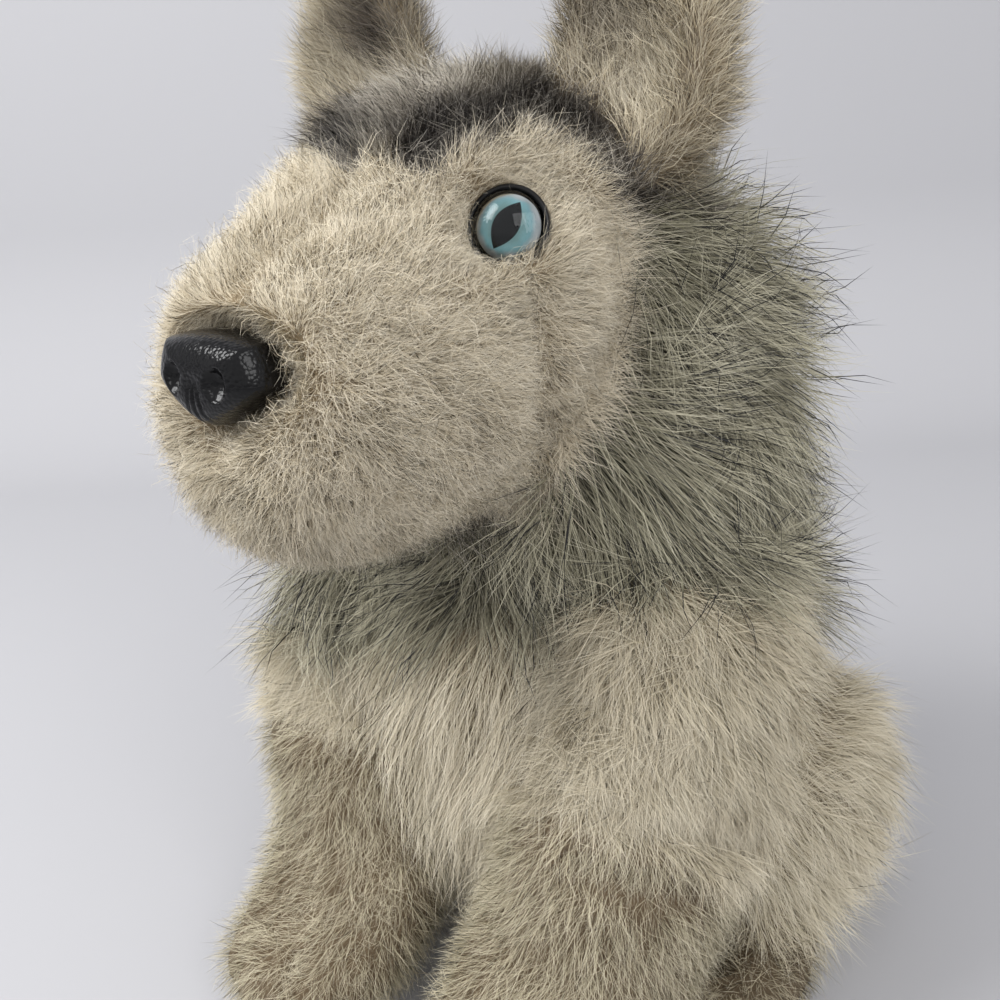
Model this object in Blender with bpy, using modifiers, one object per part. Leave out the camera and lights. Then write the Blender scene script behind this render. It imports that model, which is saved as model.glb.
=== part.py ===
# Seated plush wolf: sewn pile-fabric covers over stuffing, with plastic safety eyes and nose.
# The wolf faces -Y, its left side is +X, and it sits on the plane z = 0 with the origin under its seat.
# Every soft form is a coarse cage of rings with a subdivision surface, at the mean outline of the pile.

import bpy
import bmesh
from math import acos, atan2, cos, hypot, pi, sin
from mathutils import Vector

# Fabric and fits
GAP = 0.0004                # clearance between pieces that touch
FILLING_GAP = 0.0008        # clearance between a cover and its stuffing
CLOTH_HEAD = 0.010          # pile fabric of the face and crown, pile laid down
CLOTH_SHORT = 0.008         # pile fabric of the forelegs and feet
CLOTH_LONG = 0.010          # pile fabric of the body, haunches and tail
CLOTH_RUFF = 0.016          # long pile of the ruff
SEAT_THICKNESS = 0.005
SOLE = 0.006                # fabric under the haunches, feet and tail
FAR = 0.5                   # beyond the wolf on every side

# Head
HEAD_LENGTH = 0.172
HEAD_WIDTH = 0.144
HEAD_HEIGHT = 0.122
NOSE_END_Y = -0.163
NOSE_END_Z = 0.224
CROWN_RISE = 0.030          # how much higher the middle of the skull lies than the nose end
LOBE_X = 0.034              # middle of each pale lobe of the face
LOBE_WIDTH = 0.104
LOBE_DEPTH = 0.184
LOBE_Y = -0.150
LOBE_Z = 0.262
JAW_SEAM_Y = -0.116         # where the seam between face and crown crosses the underside of the jaw
JAW_SEAM_Z = 0.184
CHEEK_SEAM_Y = -0.070       # where it passes the cheek
CHEEK_SEAM_Z = 0.256
THROAT_RADIUS = 0.032       # opening between the head cover and the neck
THROAT_Y = -0.036

# Ears
EAR_HEIGHT = 0.094
EAR_WIDTH = 0.070
EAR_DEPTH = 0.030
EAR_SPREAD = 0.047          # centre of an ear from the middle of the head
EAR_Y = -0.052
EAR_BASE_Z = 0.272
EAR_LEAN = 0.006            # how far the tip leans outward
EAR_CUP = 0.015             # how far the hollow of the cup lies in front of the middle of the ear
LINING = 0.006              # plush lining of the cup

# Ruff and neck
RUFF_WIDTH = 0.186
RUFF_DEPTH = 0.180
RUFF_TOP_Z = 0.298
RUFF_BOTTOM_Z = 0.148
RUFF_BACK_Y = 0.004         # middle of the ruff at its top, behind the ears
RUFF_FRONT_Y = -0.043       # middle of the ruff at its foot, over the chest

# Body
BODY_WIDTH = 0.176
BODY_DEPTH = 0.200
BODY_HEIGHT = 0.240
CHEST_WIDTH = 0.080
BACK_WIDTH = 0.064
CHEST_BACK_SPLIT_Y = 0.0    # the chest panel lies in front of this plane, the back panel behind it
SEAT_Y = 0.020
CHEST_Y = -0.036            # middle of the body at the neck

# Forelegs
SHOULDER_X = 0.064
SHOULDER_Z = 0.208
ELBOW_Z = 0.080
ARM_WIDTH = 0.082
ARM_DEPTH = 0.094
LEG_X = 0.047
LEG_WIDTH = 0.078
PAW_HEIGHT = 0.054
PAW_FRONT_Y = -0.156
ARM_TOP_Y = -0.034

# Hind legs
HAUNCH_X = 0.071
HAUNCH_Y = 0.020
HAUNCH_WIDTH = 0.076
HAUNCH_LENGTH = 0.124
HAUNCH_HEIGHT = 0.126
FOOT_X = 0.085
FOOT_WIDTH = 0.050
FOOT_HEIGHT = 0.038
FOOT_LENGTH = 0.085
FOOT_FRONT_Y = -0.078

# Tail
TAIL_LENGTH = 0.115
TAIL_WIDTH = 0.052
TAIL_START_Y = 0.070

# Eyes, in the direction that the left one faces
EYE_DIAMETER = 0.0200
EYE_X = 0.0405
EYE_Y = -0.095
EYE_Z = 0.2700
EYE_FACING = (0.42, -0.84, 0.34)
EYE_SINK = 0.0056           # how deep the back of the eye lies below the tips of the pile
EYE_BACK = 0.0020
EYE_RIM = 0.0008
IRIS_THICKNESS = 0.0006
LENS_HEIGHT = 0.0085
LENS_EDGE = 0.0010          # straight edge of the clear dome, inside the rim of the cup

# Nose
NOSE_WIDTH = 0.030
NOSE_HEIGHT = 0.022
NOSE_DEPTH = 0.0132         # from its flat back to its front
NOSE_SINK = 0.0090          # how deep its back lies below the tips of the pile
NOSE_ROUNDING = 0.55        # 1 for a round nose, less for a boxy one
NOSE_TAPER = 0.50           # share of the width that is lost from the middle to the foot
NOSE_Z = 0.237
NOSE_FACING = (0, -1, 0.10)
NOSTRIL_RADIUS = 0.0028
NOSTRIL_X = 0.0062
PHILTRUM_WIDTH = 0.0009     # groove from between the nostrils down to the foot of the nose
PHILTRUM_DEPTH = 0.0014
DISH_RADIUS = 0.0215        # dish in the pile round the nose
DISH_DEPTH = 0.0045
DISH_RISE = 0.003           # how far in front of the pile the dish is widest

# Shanks and lock washers
SHANK_RADIUS = 0.0026
SHANK_LENGTH = 0.017
WASHER_RADIUS = 0.0075
WASHER_THICKNESS = 0.0015
WASHER_TOP = -CLOTH_HEAD - GAP                 # heights along the shank, from the tips of the pile
WASHER_LOW = WASHER_TOP - WASHER_THICKNESS
SHANK_STOP = -SHANK_LENGTH - 2 * GAP
BORE = SHANK_RADIUS + GAP
POCKET = WASHER_RADIUS + GAP
TURN_STEPS = 18

# Colour and roughness of each material
FINISHES = {
    "cream_plush": ((0.56, 0.48, 0.34), 0.9),
    "crown_plush": ((0.24, 0.21, 0.17), 0.9),
    "ear_plush": ((0.48, 0.42, 0.30), 0.9),
    "ruff_pile": ((0.30, 0.30, 0.23), 0.9),
    "body_pile": ((0.50, 0.45, 0.33), 0.9),
    "leg_plush": ((0.38, 0.32, 0.22), 0.9),
    "seat_cloth": ((0.42, 0.37, 0.27), 0.9),
    "stuffing": ((0.85, 0.85, 0.82), 1.0),
    "black_plastic": ((0.012, 0.012, 0.013), 0.18),
    "clear_plastic": ((0.86, 0.90, 0.90), 0.05),
    "iris_print": ((0.30, 0.48, 0.50), 0.4),
    "washer_plastic": ((0.75, 0.75, 0.72), 0.5),
}

SIDES = (("left", 1), ("right", -1))

for old in list(bpy.data.objects):
    bpy.data.objects.remove(old)

parts = bpy.data.collections.new("plush_wolf")
cutters = bpy.data.collections.new("cutters")
bpy.context.scene.collection.children.link(parts)
bpy.context.scene.collection.children.link(cutters)


def material(slot):
    mat = bpy.data.materials.get(slot)
    if mat is None:
        colour, rough = FINISHES[slot]
        mat = bpy.data.materials.new(slot)
        mat.use_nodes = True
        shader = mat.node_tree.nodes["Principled BSDF"]
        shader.inputs["Base Color"].default_value = (*colour, 1)
        shader.inputs["Roughness"].default_value = rough
    return mat


def part(name, mesh, slot):
    """A piece of the wolf, with its own copy of the mesh."""
    obj = bpy.data.objects.new(name, mesh.copy())
    obj.data.materials.append(material(slot))
    parts.objects.link(obj)
    return obj


def cutter(name, mesh):
    obj = bpy.data.objects.new(name, mesh)
    obj.hide_render = True
    obj.display_type = "WIRE"
    cutters.objects.link(obj)
    return obj


def rounded(obj, grow=0):
    """Smooths a cage and moves its surface out (or in) along the normals."""
    sub = obj.modifiers.new("round", "SUBSURF")
    sub.levels = sub.render_levels = 1
    if grow:
        shift = obj.modifiers.new("grow", "DISPLACE")
        shift.mid_level = 0
        shift.strength = grow
    return obj


def boolean(obj, operation, *tools):
    for tool in tools:
        mod = obj.modifiers.new(operation.lower(), "BOOLEAN")
        mod.operation = operation
        mod.object = tool
    return obj


def block(name, low, high):
    mesh = bpy.data.meshes.new(name)
    bm = bmesh.new()
    bmesh.ops.create_cube(bm, size=1)
    for vert in bm.verts:
        vert.co = Vector([(lo + hi) / 2 + (hi - lo) * c for lo, hi, c in zip(low, high, vert.co)])
    bm.to_mesh(mesh)
    bm.free()
    return cutter(name, mesh)


def turned(profile):
    """A profile in x and z, from the top down its outer side, to be turned about the z axis."""
    mesh = bpy.data.meshes.new("profile")
    bm = bmesh.new()
    verts = [bm.verts.new((x, 0, z)) for x, z in profile]
    for a, b in zip(verts, verts[1:]):
        bm.edges.new((a, b))
    bm.to_mesh(mesh)
    bm.free()
    return mesh


def lathe(obj):
    screw = obj.modifiers.new("turn", "SCREW")
    screw.steps = screw.render_steps = TURN_STEPS
    screw.use_merge_vertices = True
    screw.merge_threshold = 0.00001
    return obj


def place(obj, seat, facing):
    obj.location = seat
    obj.rotation_mode = "QUATERNION"
    obj.rotation_quaternion = facing.to_track_quat("Z", "Y")
    return obj


def ring_cage(name, path, sizes, sides=8):
    """A sphere primitive whose rings are moved onto the stations of a path."""
    count = len(sizes) + 1
    mesh = bpy.data.meshes.new(name)
    bm = bmesh.new()
    bmesh.ops.create_uvsphere(bm, u_segments=sides, v_segments=count, radius=1)
    for vert in bm.verts:
        k = round(acos(max(-1, min(1, vert.co.z))) * count / pi)
        if k in (0, count):
            vert.co = path[k and -1]
            continue
        angle = atan2(vert.co.y, vert.co.x)
        along = (path[k + 1] - path[k - 1]).normalized()
        side = (Vector((1, 0, 0)) - along * along.x).normalized()
        across = side.cross(along)
        width, depth = sizes[k - 1]
        vert.co = path[k] + side * cos(angle) * width / 2 + across * sin(angle) * depth / 2
    bm.to_mesh(mesh)
    bm.free()
    return mesh


def head_mesh():
    rows = (
        # along, rise, width, height
        (0.00, 0.00, 0.00, 0.00),
        (0.02, -0.16, 0.42, 0.44),
        (0.11, -0.02, 0.64, 0.76),
        (0.28, 0.30, 0.76, 0.88),
        (0.46, 0.70, 0.92, 0.98),
        (0.64, 1.00, 1.00, 1.00),
        (0.84, 0.92, 0.84, 0.90),
        (0.97, 0.75, 0.50, 0.52),
        (1.00, 0.72, 0.00, 0.00),
    )
    path = [Vector((0, NOSE_END_Y + t * HEAD_LENGTH, NOSE_END_Z + CROWN_RISE * r)) for t, r, w, h in rows]
    sizes = [(w * HEAD_WIDTH, h * HEAD_HEIGHT) for t, r, w, h in rows[1:-1]]
    return ring_cage("head", path, sizes, 10)


def ruff_mesh():
    rows = (
        # down, width, depth
        (0.00, 0.00, 0.00),
        (0.05, 0.56, 0.46),
        (0.28, 0.88, 0.72),
        (0.56, 1.00, 0.94),
        (0.82, 1.00, 0.95),
        (0.96, 0.76, 0.72),
        (1.00, 0.00, 0.00),
    )
    drop = RUFF_TOP_Z - RUFF_BOTTOM_Z
    path = [Vector((0, RUFF_BACK_Y + t * (RUFF_FRONT_Y - RUFF_BACK_Y), RUFF_TOP_Z - t * drop))
            for t, w, d in rows]
    sizes = [(w * RUFF_WIDTH, d * RUFF_DEPTH) for t, w, d in rows[1:-1]]
    return ring_cage("ruff", path, sizes, 10)


def body_mesh():
    rows = (
        # up, forward, width, depth
        (-0.22, 0.00, 0.00, 0.00),
        (-0.13, 0.00, 0.58, 0.54),
        (0.00, 0.00, 0.86, 0.80),
        (0.15, 0.04, 0.97, 0.90),
        (0.33, 0.34, 1.00, 1.00),
        (0.53, 0.60, 0.98, 0.96),
        (0.70, 0.88, 0.84, 0.80),
        (0.88, 1.00, 0.56, 0.56),
        (1.00, 1.00, 0.00, 0.00),
    )
    path = [Vector((0, SEAT_Y + f * (CHEST_Y - SEAT_Y), BODY_HEIGHT * t)) for t, f, w, d in rows]
    sizes = [(w * BODY_WIDTH, d * BODY_DEPTH) for t, f, w, d in rows[1:-1]]
    return ring_cage("body", path[::-1], sizes[::-1], 10)


def arm_mesh(side):
    upper = SHOULDER_Z - ELBOW_Z
    rows = (
        # outward, forward, height, width, thickness
        (0.25, 0.00, SHOULDER_Z, 0, 0),
        (0.47, 0.03, SHOULDER_Z - upper * 0.08, ARM_WIDTH * 0.56, ARM_DEPTH * 0.54),
        (0.93, 0.13, SHOULDER_Z - upper * 0.36, ARM_WIDTH * 0.96, ARM_DEPTH * 0.96),
        (1.00, 0.23, SHOULDER_Z - upper * 0.70, ARM_WIDTH * 1.02, ARM_DEPTH * 1.02),
        (0.39, 0.33, ELBOW_Z, LEG_WIDTH * 1.06, LEG_WIDTH * 1.14),
        (0.06, 0.41, ELBOW_Z * 0.50, LEG_WIDTH * 0.98, LEG_WIDTH * 0.98),
        (0.00, 0.69, PAW_HEIGHT * 0.36, LEG_WIDTH * 1.04, PAW_HEIGHT * 1.08),
        (0.00, 0.93, PAW_HEIGHT * 0.35, LEG_WIDTH * 0.68, PAW_HEIGHT * 0.66),
        (0.00, 1.00, PAW_HEIGHT * 0.35, 0, 0),
    )
    path = [Vector((side * (LEG_X + x * (SHOULDER_X - LEG_X)), ARM_TOP_Y + y * (PAW_FRONT_Y - ARM_TOP_Y), z))
            for x, y, z, w, d in rows]
    return ring_cage("arm", path, [(w, d) for x, y, z, w, d in rows[1:-1]])


def haunch_mesh(side):
    rows = (
        # back, rise, width, height
        (0.00, 0.34, 0.00, 0.00),
        (0.05, 0.34, 0.52, 0.50),
        (0.28, 0.36, 0.96, 0.92),
        (0.64, 0.38, 1.06, 1.06),
        (0.93, 0.36, 0.64, 0.66),
        (1.00, 0.36, 0.00, 0.00),
    )
    path = [Vector((HAUNCH_X * side, HAUNCH_Y + (t - 0.5) * HAUNCH_LENGTH, HAUNCH_HEIGHT * r))
            for t, r, w, h in rows]
    sizes = [(w * HAUNCH_WIDTH, h * HAUNCH_HEIGHT) for t, r, w, h in rows[1:-1]]
    return ring_cage("haunch", path, sizes)


def foot_mesh(side):
    rows = (
        # back, width, height
        (0.00, 0.00, 0.00),
        (0.08, 0.62, 0.62),
        (0.34, 1.06, 1.06),
        (0.80, 0.90, 1.00),
        (1.00, 0.00, 0.00),
    )
    path = [Vector((FOOT_X * side, FOOT_FRONT_Y + t * FOOT_LENGTH, FOOT_HEIGHT * 0.44)) for t, w, h in rows]
    sizes = [(w * FOOT_WIDTH, h * FOOT_HEIGHT) for t, w, h in rows[1:-1]]
    return ring_cage("foot", path, sizes)


def ear_mesh(side):
    rows = (
        # up, width, depth
        (0.00, 0.00, 0.00),
        (0.04, 0.70, 0.90),
        (0.30, 1.06, 1.04),
        (0.62, 0.86, 0.84),
        (0.90, 0.38, 0.50),
        (1.00, 0.00, 0.00),
    )
    path = [Vector((side * (EAR_SPREAD + EAR_LEAN * t), EAR_Y + 0.004 * t, EAR_BASE_Z + EAR_HEIGHT * t))
            for t, w, d in rows]
    sizes = [(w * EAR_WIDTH, d * EAR_DEPTH) for t, w, d in rows[1:-1]]
    return ring_cage("ear", path[::-1], sizes[::-1])


def tail_mesh():
    rows = (
        # back, width, height
        (0.00, 0.00, 0.00),
        (0.06, 0.70, 0.70),
        (0.40, 1.06, 1.00),
        (0.78, 0.92, 0.90),
        (0.96, 0.50, 0.50),
        (1.00, 0.00, 0.00),
    )
    path = [Vector((0, TAIL_START_Y + t * TAIL_LENGTH, TAIL_WIDTH * 0.40)) for t, w, h in rows]
    sizes = [(w * TAIL_WIDTH, h * TAIL_WIDTH) for t, w, h in rows[1:-1]]
    return ring_cage("tail", path, sizes)


def cup_mesh(side):
    """The hollow of an ear: narrower than the ear and in front of it."""
    rows = (
        # up, width, depth
        (0.14, 0.00, 0.00),
        (0.18, 0.40, 0.60),
        (0.38, 0.74, 0.98),
        (0.62, 0.58, 0.86),
        (0.82, 0.24, 0.50),
        (0.86, 0.00, 0.00),
    )
    path = [Vector((side * (EAR_SPREAD + EAR_LEAN * t), EAR_Y - EAR_CUP, EAR_BASE_Z + EAR_HEIGHT * t))
            for t, w, d in rows]
    sizes = [(w * EAR_WIDTH, d * EAR_DEPTH) for t, w, d in rows[1:-1]]
    return ring_cage("cup", path[::-1], sizes[::-1])


def lobe_mesh(side, grow):
    """The end of the pale fur over one eye."""
    mesh = bpy.data.meshes.new("lobe")
    bm = bmesh.new()
    bmesh.ops.create_uvsphere(bm, u_segments=20, v_segments=12, radius=0.5)
    for vert in bm.verts:
        x = vert.co.x * (LOBE_WIDTH + 2 * grow) + side * LOBE_X
        y = vert.co.y * (LOBE_DEPTH + 2 * grow) + LOBE_Y
        vert.co = (x, y, vert.co.z * (LOBE_DEPTH + 2 * grow) + LOBE_Z)
    bm.to_mesh(mesh)
    bm.free()
    return mesh


def face_zone(name, grow):
    """The space that the face panels fill: a block in front of the slanting cheek seam, and two lobes."""
    jaw = Vector((0, JAW_SEAM_Y + grow, JAW_SEAM_Z))
    cheek = Vector((0, CHEEK_SEAM_Y + grow, CHEEK_SEAM_Z + grow))
    down = (jaw - cheek).normalized() * HEAD_HEIGHT
    front = Vector((0, -HEAD_LENGTH, 0))
    width = HEAD_WIDTH
    zone = block(name, (-width, -1, -1), (width, 1, 1))
    for vert in zone.data.vertices:
        edge = cheek + (down if vert.co.z < 0 else Vector())
        vert.co = edge + (front if vert.co.y < 0 else Vector()) + Vector((vert.co.x, 0, 0))
    for tag, side in SIDES:
        boolean(zone, "UNION", cutter(name + "_lobe_" + tag, lobe_mesh(side, grow)))
    return zone


# Rooms, a gap larger than the soft forms, and hollows, a cloth smaller
head = head_mesh()
ruff = ruff_mesh()
body = body_mesh()
tail = tail_mesh()
head_room = rounded(cutter("head_room", head), GAP)
head_hollow = rounded(cutter("head_hollow", head.copy()), -CLOTH_HEAD)
ruff_room = rounded(cutter("ruff_room", ruff), GAP)
ruff_hollow = rounded(cutter("ruff_hollow", ruff.copy()), -CLOTH_RUFF)
body_room = rounded(cutter("body_room", body), GAP)
body_hollow = rounded(cutter("body_hollow", body.copy()), -CLOTH_LONG)

ground = block("ground", (-FAR, -FAR, -FAR), (FAR, FAR, 0))
under_sole = block("under_sole", (-FAR, -FAR, -FAR), (FAR, FAR, SOLE))
under_filling = block("under_filling", (-FAR, -FAR, -FAR), (FAR, FAR, SOLE + FILLING_GAP))
over_seat = block("over_seat", (-FAR, -FAR, SEAT_THICKNESS), (FAR, FAR, FAR))
seat_space = block("seat_space", (-FAR, -FAR, -FAR), (FAR, FAR, SEAT_THICKNESS + GAP))
left_half = block("left_half", (-GAP / 2, -FAR, -FAR), (FAR, FAR, FAR))
right_half = block("right_half", (-FAR, -FAR, -FAR), (GAP / 2, FAR, FAR))
half_away = {1: right_half, -1: left_half}
face = face_zone("face_zone", 0)
face_room = face_zone("face_room", GAP)

throat_z = (BODY_HEIGHT * 0.70, NOSE_END_Z + CROWN_RISE * 0.6)


def throat(name, radius):
    mesh = bpy.data.meshes.new(name)
    bm = bmesh.new()
    bmesh.ops.create_cone(bm, cap_ends=True, segments=24, radius1=radius, radius2=radius,
                          depth=throat_z[1] - throat_z[0])
    bmesh.ops.translate(bm, verts=bm.verts, vec=(0, THROAT_Y, sum(throat_z) / 2))
    bm.to_mesh(mesh)
    bm.free()
    return cutter(name, mesh)


throat_hole = throat("throat_hole", THROAT_RADIUS)
throat_filling = throat("throat_filling", THROAT_RADIUS - GAP)


# Where an axis from inside the head meets the tips of the pile
bpy.context.view_layer.update()
head_form = rounded(cutter("head_form", head.copy()))
depsgraph = bpy.context.evaluated_depsgraph_get()


def seat_on_head(point, facing):
    start = Vector(point) - facing * HEAD_WIDTH * 0.2
    hit, spot, normal, index = head_form.evaluated_get(depsgraph).ray_cast(start, facing)
    return spot


def stepped_room(name, top, stages, seat, facing):
    """A turned cutter, narrower or wider at each stage of its depth."""
    profile = [(0, top)]
    for radius, low in stages:
        profile += [(radius, top), (radius, low)]
        top = low
    return place(lathe(cutter(name, turned(profile + [(0, top)]))), seat, facing)


def washer(tag, seat, facing):
    ring = turned([(BORE, WASHER_TOP), (WASHER_RADIUS, WASHER_TOP), (WASHER_RADIUS, WASHER_LOW),
                   (BORE, WASHER_LOW), (BORE, WASHER_TOP)])
    place(lathe(part(tag, ring, "washer_plastic")), seat, facing)


# Eyes: a black cup with a shank, a printed iris disc and a clear dome
eye_tools = {}
for tag, side in SIDES:
    facing = Vector((EYE_FACING[0] * side, EYE_FACING[1], EYE_FACING[2])).normalized()
    seat = seat_on_head((EYE_X * side, EYE_Y, EYE_Z), facing)
    radius = EYE_DIAMETER / 2
    low = -EYE_SINK
    floor = low + EYE_BACK
    iris_low = floor + GAP
    iris_top = iris_low + IRIS_THICKNESS
    base = iris_top + GAP
    rim = base + LENS_EDGE
    inner = radius - EYE_RIM
    lens_radius = inner - GAP
    cup = turned([(0, floor), (inner, floor), (inner, rim), (radius, rim), (radius, low), (SHANK_RADIUS, low),
                  (SHANK_RADIUS, -SHANK_LENGTH), (0, -SHANK_LENGTH)])
    iris = turned([(0, iris_top), (lens_radius, iris_top), (lens_radius, iris_low), (0, iris_low)])
    dome = [(lens_radius * sin(a * pi / 10), rim + (LENS_HEIGHT - LENS_EDGE) * cos(a * pi / 10))
            for a in range(6)]
    lens = turned(dome + [(lens_radius, base), (0, base)])
    place(lathe(part("eye_back_" + tag, cup, "black_plastic")), seat, facing)
    place(lathe(part("eye_iris_" + tag, iris, "iris_print")), seat, facing)
    place(lathe(part("eye_lens_" + tag, lens, "clear_plastic")), seat, facing)
    washer("eye_washer_" + tag, seat, facing)
    socket = (radius + GAP, low - GAP)
    eye_tools[side] = (
        stepped_room("eye_cloth_room_" + tag, EYE_DIAMETER, [
            socket, (BORE, WASHER_TOP + GAP), (POCKET, WASHER_LOW - GAP), (BORE, SHANK_STOP)], seat, facing),
        stepped_room("eye_filling_room_" + tag, EYE_DIAMETER, [
            socket, (POCKET, WASHER_LOW - GAP), (BORE, SHANK_STOP)], seat, facing),
    )


# Nose: a rounded triangle with a flat back, two nostrils and a groove between them
def nose_mesh():
    mesh = bpy.data.meshes.new("nose")
    bm = bmesh.new()
    bmesh.ops.create_uvsphere(bm, u_segments=16, v_segments=8, radius=1)
    for vert in bm.verts:
        x, y, z = vert.co
        wider = hypot(x, y) ** (NOSE_ROUNDING - 1) if abs(z) < 0.99 else 0
        x, y, z = x * wider, y * wider, max(0, z) ** NOSE_ROUNDING
        taper = 1 - NOSE_TAPER * max(0, -y) ** 1.3 - 0.08 * max(0, y)
        vert.co = (x * taper * NOSE_WIDTH / 2, y * NOSE_HEIGHT / 2, z * NOSE_DEPTH - NOSE_SINK)
    bmesh.ops.dissolve_limit(bm, angle_limit=0.02, verts=bm.verts, edges=bm.edges)
    bm.to_mesh(mesh)
    bm.free()
    return mesh


def dish_mesh():
    mesh = bpy.data.meshes.new("dish")
    bm = bmesh.new()
    bmesh.ops.create_uvsphere(bm, u_segments=18, v_segments=10, radius=1)
    for vert in bm.verts:
        vert.co *= DISH_RADIUS
        vert.co.z = vert.co.z / DISH_RADIUS * (DISH_DEPTH + DISH_RISE) + DISH_RISE
    bm.to_mesh(mesh)
    bm.free()
    return mesh


nose_facing = Vector(NOSE_FACING).normalized()
nose_seat = seat_on_head((0, EYE_Y, NOSE_Z), nose_facing)
nose_dish = cutter("nose_dish", dish_mesh())
nose_room = cutter("nose_room", nose_mesh())
shift = nose_room.modifiers.new("grow", "DISPLACE")
shift.mid_level = 0
shift.strength = 2 * GAP
nose = part("nose", nose_mesh(), "black_plastic")
shank = lathe(cutter("nose_shank", turned([
    (0, 0), (SHANK_RADIUS, 0), (SHANK_RADIUS, -SHANK_LENGTH), (0, -SHANK_LENGTH)])))
philtrum_floor = NOSE_DEPTH - NOSE_SINK - PHILTRUM_DEPTH
philtrum = block("philtrum", (-PHILTRUM_WIDTH / 2, -NOSE_HEIGHT, philtrum_floor),
                 (PHILTRUM_WIDTH / 2, 0, NOSE_DEPTH))
boolean(nose, "UNION", shank)
boolean(nose, "DIFFERENCE", philtrum)
for tag, side in SIDES:
    nostril = cutter("nostril_" + tag, bpy.data.meshes.new("nostril"))
    bm = bmesh.new()
    bmesh.ops.create_icosphere(bm, subdivisions=1, radius=NOSTRIL_RADIUS)
    bmesh.ops.translate(bm, verts=bm.verts, vec=(side * NOSTRIL_X, NOSE_HEIGHT * 0.1, NOSE_DEPTH - NOSE_SINK))
    bm.to_mesh(nostril.data)
    bm.free()
    place(nostril, nose_seat, nose_facing)
    boolean(nose, "DIFFERENCE", nostril)
for tool in (nose, nose_room, nose_dish, shank, philtrum):
    place(tool, nose_seat, nose_facing)
washer("nose_washer", nose_seat, nose_facing)
nose_cloth_room = stepped_room("nose_cloth_room", 0, [
    (BORE, WASHER_TOP + GAP), (POCKET, WASHER_LOW - GAP), (BORE, SHANK_STOP)], nose_seat, nose_facing)
nose_filling_room = stepped_room("nose_filling_room", 0, [
    (POCKET, WASHER_LOW - GAP), (BORE, SHANK_STOP)], nose_seat, nose_facing)


# Head cover: two face panels meeting on the middle seam, and the crown behind them
for tag, side in SIDES:
    panel = rounded(part("face_" + tag, head, "cream_plush"))
    boolean(panel, "DIFFERENCE", head_hollow)
    boolean(panel, "INTERSECT", face)
    boolean(panel, "DIFFERENCE", half_away[side], eye_tools[side][0], nose_dish, nose_room, nose_cloth_room)
crown = rounded(part("crown", head, "crown_plush"))
boolean(crown, "DIFFERENCE", face_room, head_hollow, throat_hole)
head_stuffing = rounded(part("head_stuffing", head, "stuffing"), -CLOTH_HEAD - FILLING_GAP)
for cloth_room, filling_room in eye_tools.values():
    boolean(head_stuffing, "DIFFERENCE", filling_room)
boolean(head_stuffing, "DIFFERENCE", nose_room, nose_filling_room)

# Ruff: the cover of the neck, open to the body below and to the head above
collar = rounded(part("ruff", ruff, "ruff_pile"))
boolean(collar, "DIFFERENCE", ruff_hollow, head_room, body_hollow)

# Body cover: chest, back and two sides, over a flat seat
shell = ("DIFFERENCE", body_hollow, ruff_room, head_room, seat_space)
chest_zone = block("chest_zone", (-CHEST_WIDTH / 2, -FAR, -FAR), (CHEST_WIDTH / 2, CHEST_BACK_SPLIT_Y, FAR))
chest_room = block("chest_room", (-CHEST_WIDTH / 2 - GAP, -FAR, -FAR),
                   (CHEST_WIDTH / 2 + GAP, CHEST_BACK_SPLIT_Y, FAR))
back_zone = block("back_zone", (-BACK_WIDTH / 2, CHEST_BACK_SPLIT_Y, -FAR), (BACK_WIDTH / 2, FAR, FAR))
back_room = block("back_room", (-BACK_WIDTH / 2 - GAP, CHEST_BACK_SPLIT_Y, -FAR),
                  (BACK_WIDTH / 2 + GAP, FAR, FAR))
for name, zone in (("chest_panel", chest_zone), ("back_panel", back_zone)):
    panel = rounded(part(name, body, "body_pile"))
    boolean(panel, *shell)
    boolean(panel, "INTERSECT", zone)
for tag, side in SIDES:
    panel = rounded(part("side_" + tag, body, "body_pile"))
    boolean(panel, *shell)
    boolean(panel, "DIFFERENCE", chest_room, back_room, half_away[side])
seat_panel = rounded(part("seat_panel", body, "seat_cloth"))
boolean(seat_panel, "DIFFERENCE", ground, over_seat)
stuffing = rounded(part("body_stuffing", body, "stuffing"), -CLOTH_LONG - FILLING_GAP)
ruff_filling = rounded(cutter("ruff_filling", ruff.copy()), -CLOTH_RUFF - FILLING_GAP)
boolean(stuffing, "UNION", ruff_filling)
boolean(stuffing, "DIFFERENCE", head_room)
boolean(stuffing, "UNION", throat_filling)
boolean(stuffing, "DIFFERENCE", head_hollow, seat_space)


def limb(tag, mesh, cloth, slot, name, rooms, beyond_seam=()):
    """A closed pouch sewn onto the body, and the stuffing inside it."""
    hollow = rounded(cutter(name + "_hollow_" + tag, mesh.copy()), -cloth)
    boolean(hollow, "DIFFERENCE", under_sole)
    pouch = rounded(part(name + "_" + tag if tag else name, mesh, slot))
    boolean(pouch, "DIFFERENCE", *beyond_seam, *rooms, hollow, ground)
    stuffed = name + "_stuffing" + ("_" + tag if tag else "")
    filling = rounded(part(stuffed, mesh, "stuffing"), -cloth - FILLING_GAP)
    boolean(filling, "DIFFERENCE", *rooms, under_filling)
    return hollow


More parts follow.
